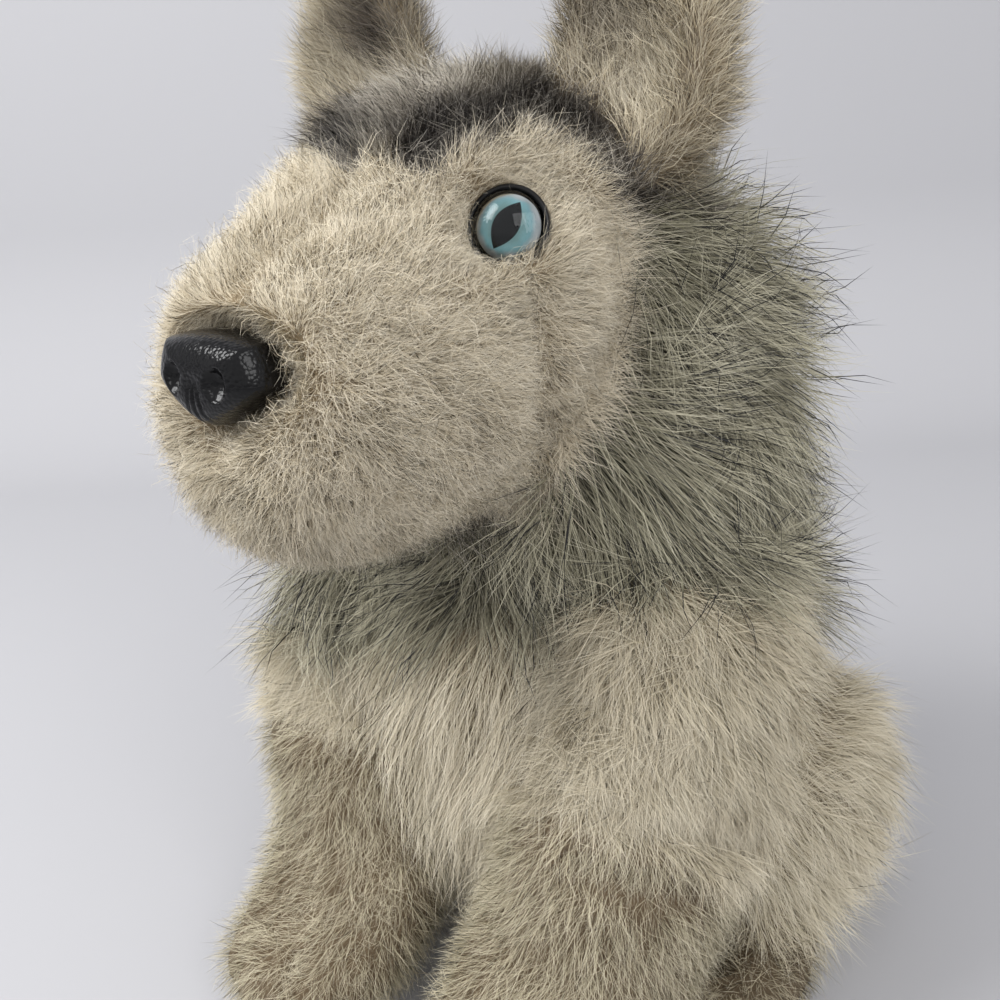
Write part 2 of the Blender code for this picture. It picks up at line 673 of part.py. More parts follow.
haunch_rooms = []
for tag, side in SIDES:
    # Foreleg: one pouch of two fabrics, the upper arm above the elbow seam and the foreleg below it
    arm = arm_mesh(side)
    arm_room = rounded(cutter("arm_room_" + tag, arm.copy()), GAP)
    elbow_low = block("elbow_low_" + tag, (-FAR, -FAR, -FAR), (FAR, FAR, ELBOW_Z))
    elbow_high = block("elbow_high_" + tag, (-FAR, -FAR, ELBOW_Z - GAP), (FAR, FAR, FAR))
    hollow = limb(tag, arm, CLOTH_SHORT, "leg_plush", "foreleg", (body_room, ruff_room), (elbow_high,))
    upper = rounded(part("upper_arm_" + tag, arm, "body_pile"))
    boolean(upper, "DIFFERENCE", elbow_low, body_room, ruff_room, hollow)
    # Haunch and hind foot
    haunch = haunch_mesh(side)
    haunch_room = rounded(cutter("haunch_room_" + tag, haunch.copy()), GAP)
    limb(tag, haunch, CLOTH_LONG, "body_pile", "haunch", (body_room, arm_room))
    foot = foot_mesh(side)
    limb(tag, foot, CLOTH_SHORT, "leg_plush", "hind_foot", (body_room, haunch_room, arm_room))
    haunch_rooms.append(haunch_room)
    # Ear: an outer cover and the lining of its cup
    ear = ear_mesh(side)
    cup = rounded(cutter("cup_" + tag, cup_mesh(side)))
    lining_zone = rounded(cutter("lining_zone_" + tag, cup_mesh(side)), LINING)
    lining_room = rounded(cutter("lining_room_" + tag, cup_mesh(side)), LINING + GAP)
    back = rounded(part("ear_back_" + tag, ear, "ear_plush"))
    boolean(back, "DIFFERENCE", lining_room, head_room, ruff_room)
    front = rounded(part("ear_lining_" + tag, ear, "ear_plush"))
    boolean(front, "INTERSECT", lining_zone)
    boolean(front, "DIFFERENCE", cup, head_room)
limb("", tail, CLOTH_LONG, "body_pile", "tail", (body_room, *haunch_rooms))
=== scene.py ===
from math import cos, pi, radians, sin

import bpy
import numpy as np
from mathutils import Matrix, Vector
from mathutils.bvhtree import BVHTree


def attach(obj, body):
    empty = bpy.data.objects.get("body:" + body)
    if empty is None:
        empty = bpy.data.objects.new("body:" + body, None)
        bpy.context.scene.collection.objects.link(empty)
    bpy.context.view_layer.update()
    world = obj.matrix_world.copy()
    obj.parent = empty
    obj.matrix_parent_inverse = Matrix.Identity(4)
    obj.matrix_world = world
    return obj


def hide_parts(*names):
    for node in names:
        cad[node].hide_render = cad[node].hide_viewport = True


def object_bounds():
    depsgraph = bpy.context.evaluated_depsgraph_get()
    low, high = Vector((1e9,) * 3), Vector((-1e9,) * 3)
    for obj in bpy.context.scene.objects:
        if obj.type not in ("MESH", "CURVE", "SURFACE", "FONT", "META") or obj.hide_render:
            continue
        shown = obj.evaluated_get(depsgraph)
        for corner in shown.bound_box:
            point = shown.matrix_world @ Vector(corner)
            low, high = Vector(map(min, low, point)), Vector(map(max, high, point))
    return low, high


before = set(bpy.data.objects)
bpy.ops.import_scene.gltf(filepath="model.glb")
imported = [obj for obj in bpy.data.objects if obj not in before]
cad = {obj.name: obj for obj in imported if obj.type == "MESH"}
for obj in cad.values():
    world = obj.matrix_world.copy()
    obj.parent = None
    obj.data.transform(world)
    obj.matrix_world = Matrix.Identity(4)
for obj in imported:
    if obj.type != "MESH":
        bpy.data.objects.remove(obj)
cadBox = [list(corner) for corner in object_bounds()]
bpy.ops.object.select_all(action="DESELECT")

camera = {
    "place": (0.20, -0.295, 0.30),
    "azimuth": 40,  # degrees round the wolf from its front
    "pitch": 21.0,  # degrees below the horizon
    "roll": 3.17,
    "lens": 37.8,
    "sensor": 36,
    "picture": 1000,  # pixels across the photograph
}


def cameraPlace():
    turn, pitch, roll = (radians(camera[k]) for k in ("azimuth", "pitch", "roll"))
    level = Vector((-sin(turn), cos(turn), 0))
    across = Vector((cos(turn), sin(turn), 0))
    ahead = level * cos(pitch) - Vector((0, 0, sin(pitch)))
    below = -level * sin(pitch) - Vector((0, 0, cos(pitch)))
    right = across * cos(roll) + below * sin(roll)
    down = below * cos(roll) - across * sin(roll)
    return Matrix.Translation(camera["place"]) @ Matrix((right, -down, -ahead)).transposed().to_4x4()


def addCamera():
    bpy.ops.object.camera_add()
    cam = bpy.context.object
    cam.matrix_world = cameraPlace()
    cam.data.lens = camera["lens"]
    cam.data.sensor_width = camera["sensor"]
    cam.data.clip_start = 0.01
    bpy.context.scene.camera = cam


addCamera()


# Each zone of pile: the CAD nodes it grows on, how deep the backing lies under their outline, and its hair
zoneKeys = ("nodes", "depth", "length", "lean", "bend", "clump", "width", "cloth")


def both(name):
    return name + "_left", name + "_right"


zones = {
    "face": (both("face"), 0.0056, 0.0086, 26, 34, 0.22, 0.00018, (128, 112, 86)),
    "crown": (("crown",), 0.0004, 0.0125, 24, 34, 0.25, 0.00018, (62, 57, 51)),
    "earBack": (both("ear_back"), 0.004, 0.0125, 40, 26, 0.35, 0.0002, (128, 112, 86)),
    "earCup": (both("ear_lining"), 0.0024, 0.013, 34, 26, 0.35, 0.0002, (110, 96, 76)),
    "ruff": (("ruff",), 0.0125, 0.034, 54, 22, 0.62, 0.00028, (64, 62, 50)),
    "chest": (("chest_panel",), 0.0095, 0.03, 58, 22, 0.5, 0.00027, (116, 102, 78)),
    "back": (("back_panel",), 0.008, 0.033, 36, 22, 0.5, 0.00027, (72, 68, 56)),
    "side": (both("side"), 0.0095, 0.025, 58, 22, 0.5, 0.00027, (108, 96, 74)),
    "upperArm": (both("upper_arm"), 0.008, 0.02, 52, 28, 0.45, 0.00025, (116, 102, 78)),
    "foreleg": (both("foreleg"), 0.0022, 0.0112, 34, 30, 0.36, 0.00021, (104, 88, 66)),
    "haunch": (both("haunch"), 0.0085, 0.023, 54, 26, 0.5, 0.00025, (112, 98, 74)),
    "hindFoot": (both("hind_foot"), 0.0045, 0.01, 36, 28, 0.4, 0.00022, (92, 78, 58)),
    "tail": (("tail",), 0.009, 0.023, 56, 22, 0.5, 0.00026, (100, 90, 70)),
    "seat": (("seat_panel",), 0.001, 0.002, 60, 20, 0.0, 0.0002, (150, 138, 114)),
}
zones = {name: dict(zip(zoneKeys, row)) for name, row in zones.items()}
zoneNames = list(zones)
covers = [n for z in zones.values() for n in z["nodes"]]
fillings = [n for n in cad if "stuffing" in n]

body = {
    "voxel": 0.0042,
    "overlap": 0.0015,  # how far the filling reaches into the covers before they are fused
    "sunk": 0.0010,  # deeper start, because the cloth swells
    "pressure": 4,
    "frames": 20,
    "cap": 0.0030,  # how far the simulation may move a point
    "fine": (0.19, -0.055),  # lowest and rearmost place of the finer mesh on the face
}


def select(*objects):
    bpy.ops.object.select_all(action="DESELECT")
    for obj in objects:
        obj.select_set(True)
    bpy.context.view_layer.objects.active = objects[0]


def edited(obj, operation, **values):
    select(obj)
    bpy.ops.object.mode_set(mode="EDIT")
    bpy.ops.mesh.select_all(action="SELECT")
    operation(**values)
    bpy.ops.object.mode_set(mode="OBJECT")


def copyNode(name):
    twin = cad[name].copy()
    twin.data = cad[name].data.copy()
    twin.parent = None
    for key in list(twin.keys()):
        del twin[key]
    twin.name = "copy_" + name
    bpy.context.scene.collection.objects.link(twin)
    edited(twin, bpy.ops.mesh.remove_doubles, threshold=0.00002)
    return twin


def applied(obj, kind, **values):
    select(obj)
    mod = obj.modifiers.new(kind.lower(), kind)
    for key, value in values.items():
        setattr(mod, key, value)
    bpy.ops.object.modifier_apply(modifier=mod.name)
    return obj


def read(items, key, width, kind=np.float32):
    flat = np.zeros(len(items) * width, kind)
    items.foreach_get(key, flat)
    return flat.reshape(-1, width)


def points(mesh):
    return read(mesh.vertices, "co", 3).astype(float)


def pointNormals(mesh):
    return read(mesh.vertex_normals, "vector", 3).astype(float)


def triangles(mesh):
    mesh.calc_loop_triangles()
    return read(mesh.loop_triangles, "vertices", 3, np.int32)


def edgesOf(mesh):
    return read(mesh.edges, "vertices", 2, np.int32)


def movePoints(mesh, where):
    mesh.vertices.foreach_set("co", where.astype(np.float32).ravel())
    mesh.update()


def evened(values, edges, rounds):
    count = np.zeros(len(values))
    np.add.at(count, edges.ravel(), 1)
    for k in range(rounds):
        total = np.zeros_like(values)
        np.add.at(total, edges[:, 0], values[edges[:, 1]])
        np.add.at(total, edges[:, 1], values[edges[:, 0]])
        values = (values + total / np.maximum(count, 1).reshape(-1, *[1] * (values.ndim - 1))) / 2
    return values


def unit(vectors):
    return vectors / np.maximum(np.linalg.norm(vectors, axis=-1, keepdims=True), 1e-9)


def inPicture(p, mirrored=True):
    # Pixels of the photograph, for the left half of the wolf and for the right half mirrored onto it
    view = np.array(cameraPlace().inverted())
    near = np.concatenate([np.abs(p[:, :1]) if mirrored else p[:, :1], p[:, 1:]], axis=1)
    near = near @ view[:3, :3].T + view[:3, 3]
    focal = camera["lens"] / camera["sensor"] * camera["picture"]
    return camera["picture"] / 2 + focal * near[:, :2] * (1, -1) / -near[:, 2:]


facing = {"gain": 4, "edge": 0.4}  # how fast a mark fades where the surface turns away


def seen(p, up):
    # How much the surface faces the camera, mirrored in the same way
    flip = np.where(p[:, :1] < 0, [[-1, 1, 1]], [[1, 1, 1]])
    toward = unit(np.array(camera["place"]) - p * flip)
    return np.clip((up * flip * toward).sum(1) * facing["gain"] + facing["edge"], 0, 1)


def nearLine(uv, line, reach):
    best = np.full(len(uv), 1e9)
    for a, b in zip(line, line[1:]):
        a, b = np.array(a, float), np.array(b, float)
        t = np.clip(((uv - a) @ (b - a)) / ((b - a) @ (b - a)), 0, 1)
        best = np.minimum(best, np.linalg.norm(uv - a - t[:, None] * (b - a), axis=1))
    return np.exp(-(best / reach) ** 2)


def within(uv, outline):
    odd = np.zeros(len(uv), bool)
    for (ax, ay), (bx, by) in zip(outline, outline[1:] + outline[:1]):
        if ay != by:
            crosses = (ay > uv[:, 1]) != (by > uv[:, 1])
            odd ^= crosses & (uv[:, 0] < (bx - ax) * (uv[:, 1] - ay) / (by - ay) + ax)
    return odd


def fusedForm():
    copies = [copyNode(n) for n in covers]
    for name in fillings:
        copies.append(applied(copyNode(name), "DISPLACE", mid_level=0, strength=body["overlap"]))
    select(*copies)
    bpy.ops.object.join()
    form = bpy.context.object
    form.data.materials.clear()
    applied(form, "REMESH", mode="VOXEL", voxel_size=body["voxel"])
    edited(form, bpy.ops.mesh.separate, type="LOOSE")
    islands = sorted(bpy.context.selected_objects, key=lambda o: len(o.data.vertices))
    for island in islands[:-1]:
        bpy.data.objects.remove(island)
    form = islands[-1]
    applied(form, "SMOOTH", factor=0.5, iterations=3)
    form.name = "backing"
    return form


# Where the roots of a zone end. The outlines are in the photograph's pixels
borders = {
    "mask": [(-400, 900), (-400, 178), (330, 156), (380, 160), (430, 184), (470, 158), (520, 142),
             (570, 152), (604, 190), (619, 250), (615, 330), (582, 410), (545, 470), (470, 900)],
    "crownBelow": 205,
    "elbow": [(-400, 1400), (-400, 740), (440, 762), (492, 776), (560, 808), (610, 832), (673, 852),
              (760, 888), (1400, 900), (1400, 1400)],
    "elbowHigh": 0.106,  # the same border on the other arm, in metres
    "bib": [(-400, 420), (-400, 622), (300, 632), (440, 628), (560, 606), (640, 572), (700, 540),
            (700, 420)],
    "bibHigh": 0.165,  # the same border where the camera doesn't see it
    "temple": (322, 85),  # beside the far ear the pale fur goes on, below and left of this pixel
    "cape": [(735, 400), (745, 520), (786, 585), (800, 650), (840, 700), (1400, 700), (1400, 400)],
    "capeLow": 0.12,
    "shown": 0.2,  # a border in pixels counts where the surface faces the camera this much
    "head": (0.20, -0.02),  # lowest and rearmost place of the head
    "templeBack": -0.05,
    "front": (0.21, -0.045), # highest and rearmost place of the chest and bib
    "bibBack": -0.065,
}


def zoneShares(where, up):
    best = np.full((len(where), len(zoneNames)), 1e9)
    for k, zone in enumerate(zones.values()):
        for name in zone["nodes"]:
            mesh = cad[name].data
            tree = BVHTree.FromPolygons([v.co for v in mesh.vertices],
                                        [p.vertices[:] for p in mesh.polygons])
            best[:, k] = np.minimum(best[:, k], [tree.find_nearest(Vector(p))[3] for p in where])
    face, crown, ruff, arm, leg, side, back = (
        zoneNames.index(n) for n in ("face", "crown", "ruff", "upperArm", "foreleg", "side", "back"))
    winner = best.argmin(1)
    x, y, z = where.T
    uv, flat = inPicture(where), inPicture(where, False)
    shown = seen(where, up) > borders["shown"]
    head = np.isin(winner, (face, crown, ruff)) & shown & (z > borders["head"][0]) & (y < borders["head"][1])
    beside = np.where((uv[:, 1] > borders["crownBelow"]) | (winner == ruff), ruff, crown)
    winner = np.where(head, np.where(within(uv, borders["mask"]), face, beside), winner)
    temple = (flat[:, 0] < borders["temple"][0]) & (flat[:, 1] > borders["temple"][1])
    winner[(winner == crown) & (x < 0) & (y < borders["templeBack"]) & temple] = face
    limb = np.isin(winner, (arm, leg))
    lower = np.where(shown & (x > 0), within(uv, borders["elbow"]), z < borders["elbowHigh"])
    winner = np.where(limb, np.where(lower, leg, arm), winner)
    front = (z < borders["front"][0]) & (y < borders["front"][1]) & ~np.isin(winner, (face, crown))
    bib = np.where(y < borders["bibBack"], within(flat, borders["bib"]), z > borders["bibHigh"])
    winner[front & bib] = ruff
    cape = np.isin(winner, (side, arm, back)) & (z > borders["capeLow"]) & within(uv, borders["cape"])
    winner[cape] = back
    shares = np.zeros_like(best)
    shares[np.arange(len(where)), winner] = 1
    return shares


def swell(form):
    scene = bpy.context.scene
    start = points(form.data)
    select(form)
    cloth = form.modifiers.new("cloth", "CLOTH")
    cloth.settings.use_pressure = True
    cloth.settings.uniform_pressure_force = body["pressure"]
    cloth.settings.effector_weights.gravity = 0
    cloth.point_cache.frame_end = body["frames"]
    for step in range(1, body["frames"] + 1):
        scene.frame_set(step)
    bpy.ops.object.modifier_apply(modifier=cloth.name)
    scene.frame_set(1)
    shift = points(form.data) - start
    far = np.linalg.norm(shift, axis=1)
    shift *= np.minimum(1, body["cap"] / np.maximum(far, 1e-9))[:, None]
    movePoints(form.data, start + shift)


def refineFace(form):
    select(form)
    where = points(form.data)
    chosen = (where[:, 2] > body["fine"][0]) & (where[:, 1] < body["fine"][1])
    form.data.vertices.foreach_set("select", chosen)
    bpy.ops.object.mode_set(mode="EDIT")
    bpy.ops.mesh.select_mode(type="FACE")
    bpy.ops.mesh.subdivide(number_cuts=1, smoothness=0)
    bpy.ops.mesh.select_all(action="DESELECT")
    bpy.ops.object.mode_set(mode="OBJECT")


def sinkForm(form):
    where = points(form.data)
    edges = edgesOf(form.data)
    rough = pointNormals(form.data)
    shares = zoneShares(where, rough)
    depth = evened(shares @ np.array([z["depth"] for z in zones.values()]), edges, 3)
    up = unit(evened(rough, edges, 1))
    movePoints(form.data, where - up * (depth + body["sunk"])[:, None])


backing = fusedForm()
print("fused form:", len(backing.data.vertices), "points")
sinkForm(backing)
swell(backing)
refineFace(backing)
print("backing swelled")


# The seats of the plastic parts, from the printed discs of the eyes and the nose's washer
def discOf(name):
    disc = points(cad[name].data)
    axis = np.linalg.svd(disc - disc.mean(0))[2][2]
    return (disc.min(0) + disc.max(0)) / 2, axis * -np.sign(axis[1])


def localFrame(seat, axis):
    right = unit(np.cross([0, 0, 1], axis))
    return np.stack([right, np.cross(axis, right), axis], axis=1), seat


eye = {
    "sunk": 0.0034,  # how far the pile's pressure pulls the eye in
    "lens": 0.0086,  # radius of the clear dome
    "cup": 0.0100,
    "low": -0.0020,  # back of the cup, measured from the printed disc
    "rim": 0.0013,
    "dome": 0.0068,
    "print": 0.0030,  # rise of the printed disc under the dome
    "clear": 0.0004,  # wall and foot of the clear dome
    "gap": 0.0002,  # between the dome and the disc
    "under": -0.0006,  # back of the printed disc, and the floor of the cup
    "floor": -0.0008,
    "play": 0.0001,
    "bevel": 0.0003,
    "round": 0.0005,  # rounding of the cup's rim, across and down
    "shoulder": 0.0008,
    "turn": 30,  # degrees that the pupil leans
    "socket": 1.9,  # reach of the socket, in radii of the cup
    "lid": 0.0042,  # height and reach of the lid that the pile makes
    "lidReach": 0.0055,
}
lids = {"lower": {"way": (0.55, -0.83), "covers": 0.30}, "inner": {"way": (-0.95, -0.30), "covers": 0.20}}
nose = {
    "sunk": 0.0015,
    "width": 0.0182,  # half of its width and of its height, under the pile's rim
    "height": 0.0110,
    "depth": 0.0132,
    "rounding": 0.55,
    "taper": 0.60,  # how much narrower its lowest point is
    "narrowing": 1.3,
    "square": 0.45,  # how far its upper corners reach out, from this share of its height on
    "squareFrom": 2.5,
    "front": 0.35,  # nostrils and grooves are cut before this share of its depth
    "pit": -0.0045,  # bottom of the pit in the backing, and the rise of its wall
    "slope": 0.0110,
}

eyeSeats = {}
for tag, side in (("left", 1), ("right", -1)):
    discSeat, axis = discOf("eye_iris_" + tag)
    eyeSeats[tag] = (side, *localFrame(discSeat - axis * eye["sunk"], axis))
washerSeat, noseAxis = discOf("nose_washer")
noseFront = ((points(cad["nose"].data) - washerSeat) @ noseAxis).max()
noseFrame, noseBase = localFrame(washerSeat + noseAxis * (noseFront - nose["depth"] - nose["sunk"]), noseAxis)


def localTo(p, axes, seat):
    return (p - seat) @ axes


def lidShare(local, side):
    # How much of the eye's radius the pile covers: most at the lower outer side, some at the inner side
    way = unit(local[:, :2]) * (side, 1)
    lower, inner = (np.clip(way @ np.array(lid["way"]), 0, 1) for lid in lids.values())
    return lids["lower"]["covers"] * lower ** 2 + lids["inner"]["covers"] * inner


def noseReach(local):
    # 1 on the outline of the nose, seen along its axis
    taper = 1 - nose["taper"] * np.clip(-local[:, 1] / nose["height"], 0, 1) ** nose["narrowing"]
    return np.hypot(local[:, 0] / (nose["width"] * taper), local[:, 1] / nose["height"])


# Line in the photograph's pixels, reach in pixels, depth, and the zones that it is on
creases = {
    "cheek": (((522, 290), (536, 380), (528, 465)), 18, 0.0034, ("face",)),
    "brow": (((460, 172), (520, 158), (580, 175)), 24, -0.0028, ("face",)),
    "pad": (((330, 330), (400, 420)), 60, -0.0022, ("face",)),
    "lip": (((190, 452), (225, 458)), 13, 0.0022, ("face",)),
    "elbow": (((575, 868), (680, 892), (790, 872)), 13, 0.0045, ("upperArm", "foreleg")),
    "elbowUpper": (((560, 800), (640, 832), (700, 824)), 12, 0.0028, ("upperArm",)),
}
parting = {
    "wide": 0.0055,
    "short": 0.68,  # how much shorter the hair is in it
    "away": 2.2,  # how strongly the hair leans to the sides
    "back": -0.068,  # it ends here on the crown
    "fade": 0.012,
    "above": 0.24,
    "upward": 0.25,
    "crease": 0.8,  # strength and width beside those of the crease itself
    "narrow": 0.6,
}
valley = {"from": -0.150, "deepest": -0.108, "to": -0.062, "deep": 0.0130, "width": 0.0115, "edge": 1.6}
toes = {"middle": 0.047, "spread": 0.0125, "front": -0.130, "deep": 0.0036, "width": 0.0032, "high": 0.040}
paws = {"top": 0.070, "fade": 0.02, "grow": 0.0060}
pressed = {
    "reach": 0.02,  # how far from a part's seat its surroundings are moved
    "nose": 2.4,  # outer edge of the pit, in outlines of the nose
    "under": 0.0006,  # room under the cup of the eye
    "inner": 1.25,  # rise of the socket's wall on the side of the muzzle, and on the other
    "outer": 0.85,
    "lid": 1.25,  # crest of the lid, in radii of the cup
}


def onZones(share, names):
    return share[:, [zoneNames.index(n) for n in names]].sum(1)


def partedAt(p, up, share):
    # How near the pile is to a seam or crease where it parts
    seam = (up[:, 2] > parting["upward"]) * (p[:, 1] < parting["back"]) * (p[:, 2] > parting["above"])
    near = np.exp(-(p[:, 0] / parting["wide"]) ** 2) * seam
    uv, shown = inPicture(p), seen(p, up)
    for line, reach, deep, names in creases.values():
        if deep > 0:
            beside = nearLine(uv, line, reach * parting["narrow"])
            near = np.maximum(near, parting["crease"] * beside * onZones(share, names) * shown)
    return near


def valleyAt(p, up):
    # The seam between the face panels lies in a valley over the muzzle and forehead
    rise = (p[:, 1] - valley["from"]) / (valley["deepest"] - valley["from"])
    fall = (valley["to"] - p[:, 1]) / (valley["to"] - valley["deepest"])
    along = np.clip(np.where(p[:, 1] < valley["deepest"], rise, fall), 0, 1) ** 0.6
    top = np.clip(up[:, 2] * 1.6, 0, 1) * (p[:, 2] > parting["above"])
    return valley["deep"] * along * top * np.exp(-(np.abs(p[:, 0]) / valley["width"]) ** valley["edge"])


def toesAt(p):
    middle = np.abs(p[:, 0]) - toes["middle"]
    toe = np.maximum(*(np.exp(-((middle + s * toes["spread"]) / toes["width"]) ** 2) for s in (-1, 1)))
    return toes["deep"] * toe * (p[:, 1] < toes["front"]) * (p[:, 2] < toes["high"])


def sculpted(p, up, share):
    uv, shown = inPicture(p), seen(p, up)
    drop = np.zeros(len(p))
    for line, reach, deep, names in creases.values():
        drop += deep * nearLine(uv, line, reach) * shown * onZones(share, names)
    drop += valleyAt(p, up)
    drop += toesAt(p)
    inner = np.clip(-up[:, 0] * np.sign(p[:, 0]), 0, 1)
    low = np.clip((paws["top"] - p[:, 2]) / paws["fade"], 0, 1)
    drop -= paws["grow"] * onZones(share, ("foreleg",)) * inner * low
    q = p - up * drop[:, None]
    # The pile is pressed in round the nose and the eyes
    local = localTo(q, noseFrame, noseBase)
    reach = noseReach(local)
    limit = nose["pit"] + np.maximum(0, reach - 1.0) * nose["slope"]
    inside = (reach < pressed["nose"]) & (local[:, 2] > -pressed["reach"])
    q = q - np.where(inside, np.maximum(0, local[:, 2] - limit), 0)[:, None] * noseFrame[:, 2]
    for side, axes, seat in eyeSeats.values():
        local = localTo(q, axes, seat)
        far = np.hypot(local[:, 0], local[:, 1])
        cover = lidShare(local, side)
        wall = np.where(local[:, 0] * side < 0, pressed["inner"], pressed["outer"])
        limit = eye["low"] - pressed["under"] + np.maximum(0, far - eye["cup"] * (1 - cover)) * wall
        inside = (far < eye["cup"] * eye["socket"]) & (local[:, 2] > -pressed["reach"])
        over = np.where(inside, np.maximum(0, local[:, 2] - limit), 0)
        crest = np.exp(-((far - eye["cup"] * pressed["lid"]) / eye["lidReach"]) ** 2)
        lid = eye["lid"] * cover / lids["lower"]["covers"] * crest * (np.abs(local[:, 2]) < pressed["reach"])
        q = q + (lid - over)[:, None] * axes[:, 2]
    return q


backingEdges = edgesOf(backing.data)
rough = pointNormals(backing.data)
shares = zoneShares(points(backing.data), rough)
softShares = evened(shares, backingEdges, 3)
movePoints(backing.data, sculpted(points(backing.data), unit(evened(rough, backingEdges, 2)), softShares))
print("backing:", len(backing.data.polygons), "faces")


# Combing: the way the hair of each zone is brushed, before it is laid along the surface
def awayFrom(p, centre):
    return unit(p - np.array(centre))


def steady(p, way):
    return np.tile(unit(np.array(way, float)), (len(p), 1))


def outward(p, x, y, z):
    side = np.sign(p[:, :1])
    return unit(np.concatenate([side * x, np.full((len(p), 1), y), np.full((len(p), 1), z)], axis=1))


combing = {
    "face": lambda p: unit(awayFrom(p, (0, -0.160, 0.246)) + steady(p, (0, 0.3, -0.25)) * 0.35),
    "crown": lambda p: unit(steady(p, (0, -0.8, 0.5)) + outward(p, 0.5, 0, 0)),
    "earBack": lambda p: unit(outward(p, 0.45, 0.2, 1) + 0.5 * awayFrom(p, (0, -0.05, 0.30))),
    "earCup": lambda p: unit(outward(p, 0.35, -0.1, 1)),
    "ruff": lambda p: unit(awayFrom(p, (0, -0.10, 0.250)) + steady(p, (0, 0.05, -0.45)) * 0.6
                           + steady(p, (0, -0.1, -2)) * ((p[:, 1:2] < -0.06) & (p[:, 2:3] < 0.21))),
    "chest": lambda p: unit(np.stack([-p[:, 0] * 6, np.zeros(len(p)) - 0.1, -np.ones(len(p))], axis=1)),
    "back": lambda p: steady(p, (0, 0.35, -1)),
    "side": lambda p: steady(p, (0, 0.35, -1)),
    "upperArm": lambda p: outward(p, 0.25, -0.10, -1),
    "foreleg": lambda p: unit(steady(p, (0, -0.45, -1))),
    "haunch": lambda p: outward(p, 0.15, 0.25, -1),
    "hindFoot": lambda p: steady(p, (0, -1, -0.4)),
    "tail": lambda p: steady(p, (0, 1, -0.15)),
    "seat": lambda p: steady(p, (0, 1, 0)),
}


def waves(p, size, seed, channels=3, count=7):
    rng = np.random.default_rng(seed)
    total = np.zeros((len(p), channels))
    for k in range(count):
        way = unit(rng.normal(size=3))
        pitch = 2 * pi / (size * rng.uniform(0.7, 1.7))
        total += np.sin(p @ way * pitch + rng.uniform(0, 2 * pi))[:, None] * rng.normal(size=channels)
    return total / count ** 0.5


# Numbers that turn the place of a cell into a random place inside it
scatter = {"primes": (73856093, 19349663, 83492791), "seed": 7919, "stretch": 43758.5453,
           "steps": (0.0137, 0.0291, 0.0473)}


def clumpCentres(p, size, seed):
    cell = np.floor(p / size).astype(int)
    best = np.full(len(p), 1e9)
    centre = np.zeros_like(p)
    for dx in (-1, 0, 1):
        for dy in (-1, 0, 1):
            for dz in (-1, 0, 1):
                near = cell + (dx, dy, dz)
                one, two, three = (near * scatter["primes"]).T
                code = (one ^ two ^ three) + seed * scatter["seed"]
                jitter = [np.sin(code * k) * scatter["stretch"] % 1 for k in scatter["steps"]]
                spot = (near + np.stack(jitter, axis=1)) * size
                far = ((spot - p) ** 2).sum(1)
                nearer = far < best
                best[nearer] = far[nearer]
                centre[nearer] = spot[nearer]
    return centre


skinPoints = points(backing.data)
skinNormals = unit(evened(pointNormals(backing.data), backingEdges, 1))
skinFaces = triangles(backing.data)
corner = skinPoints[skinFaces]
faceArea = np.linalg.norm(np.cross(corner[:, 1] - corner[:, 0], corner[:, 2] - corner[:, 0]), axis=1) / 2
for k, name in enumerate(zoneNames):
    print("zone", name, round(float((faceArea * shares[skinFaces][:, :, k].mean(1)).sum()), 4), "m2")


def rootsIn(names, count, rng, region):
    wanted = [zoneNames.index(n) for n in names]
    chance = faceArea * softShares[skinFaces][:, :, wanted].sum(2).mean(1)
    if region is not None:
        chance = chance * (0.02 + region(skinPoints[skinFaces].mean(1)))
    pick = rng.choice(len(skinFaces), size=int(count * 1.5), p=chance / chance.sum())
    a, b = rng.random((2, len(pick)))
    fold = a + b > 1
    a[fold], b[fold] = 1 - a[fold], 1 - b[fold]
    weight = np.stack([1 - a - b, a, b], axis=1)[:, :, None]
    face = skinFaces[pick]
    root = (skinPoints[face] * weight).sum(1)
    share = (softShares[face] * weight).sum(1)
    up = unit((skinNormals[face] * weight).sum(1))
    fits = np.isin(share.argmax(1), wanted) & (root[:, 2] > 0.0015)
    if region is not None:
        fits &= region(root)
    keep = np.flatnonzero(fits)[:count]
    return root[keep], up[keep], share[keep]


def mixOf(share, key):
    return share @ np.array([zones[n][key] for n in zoneNames])


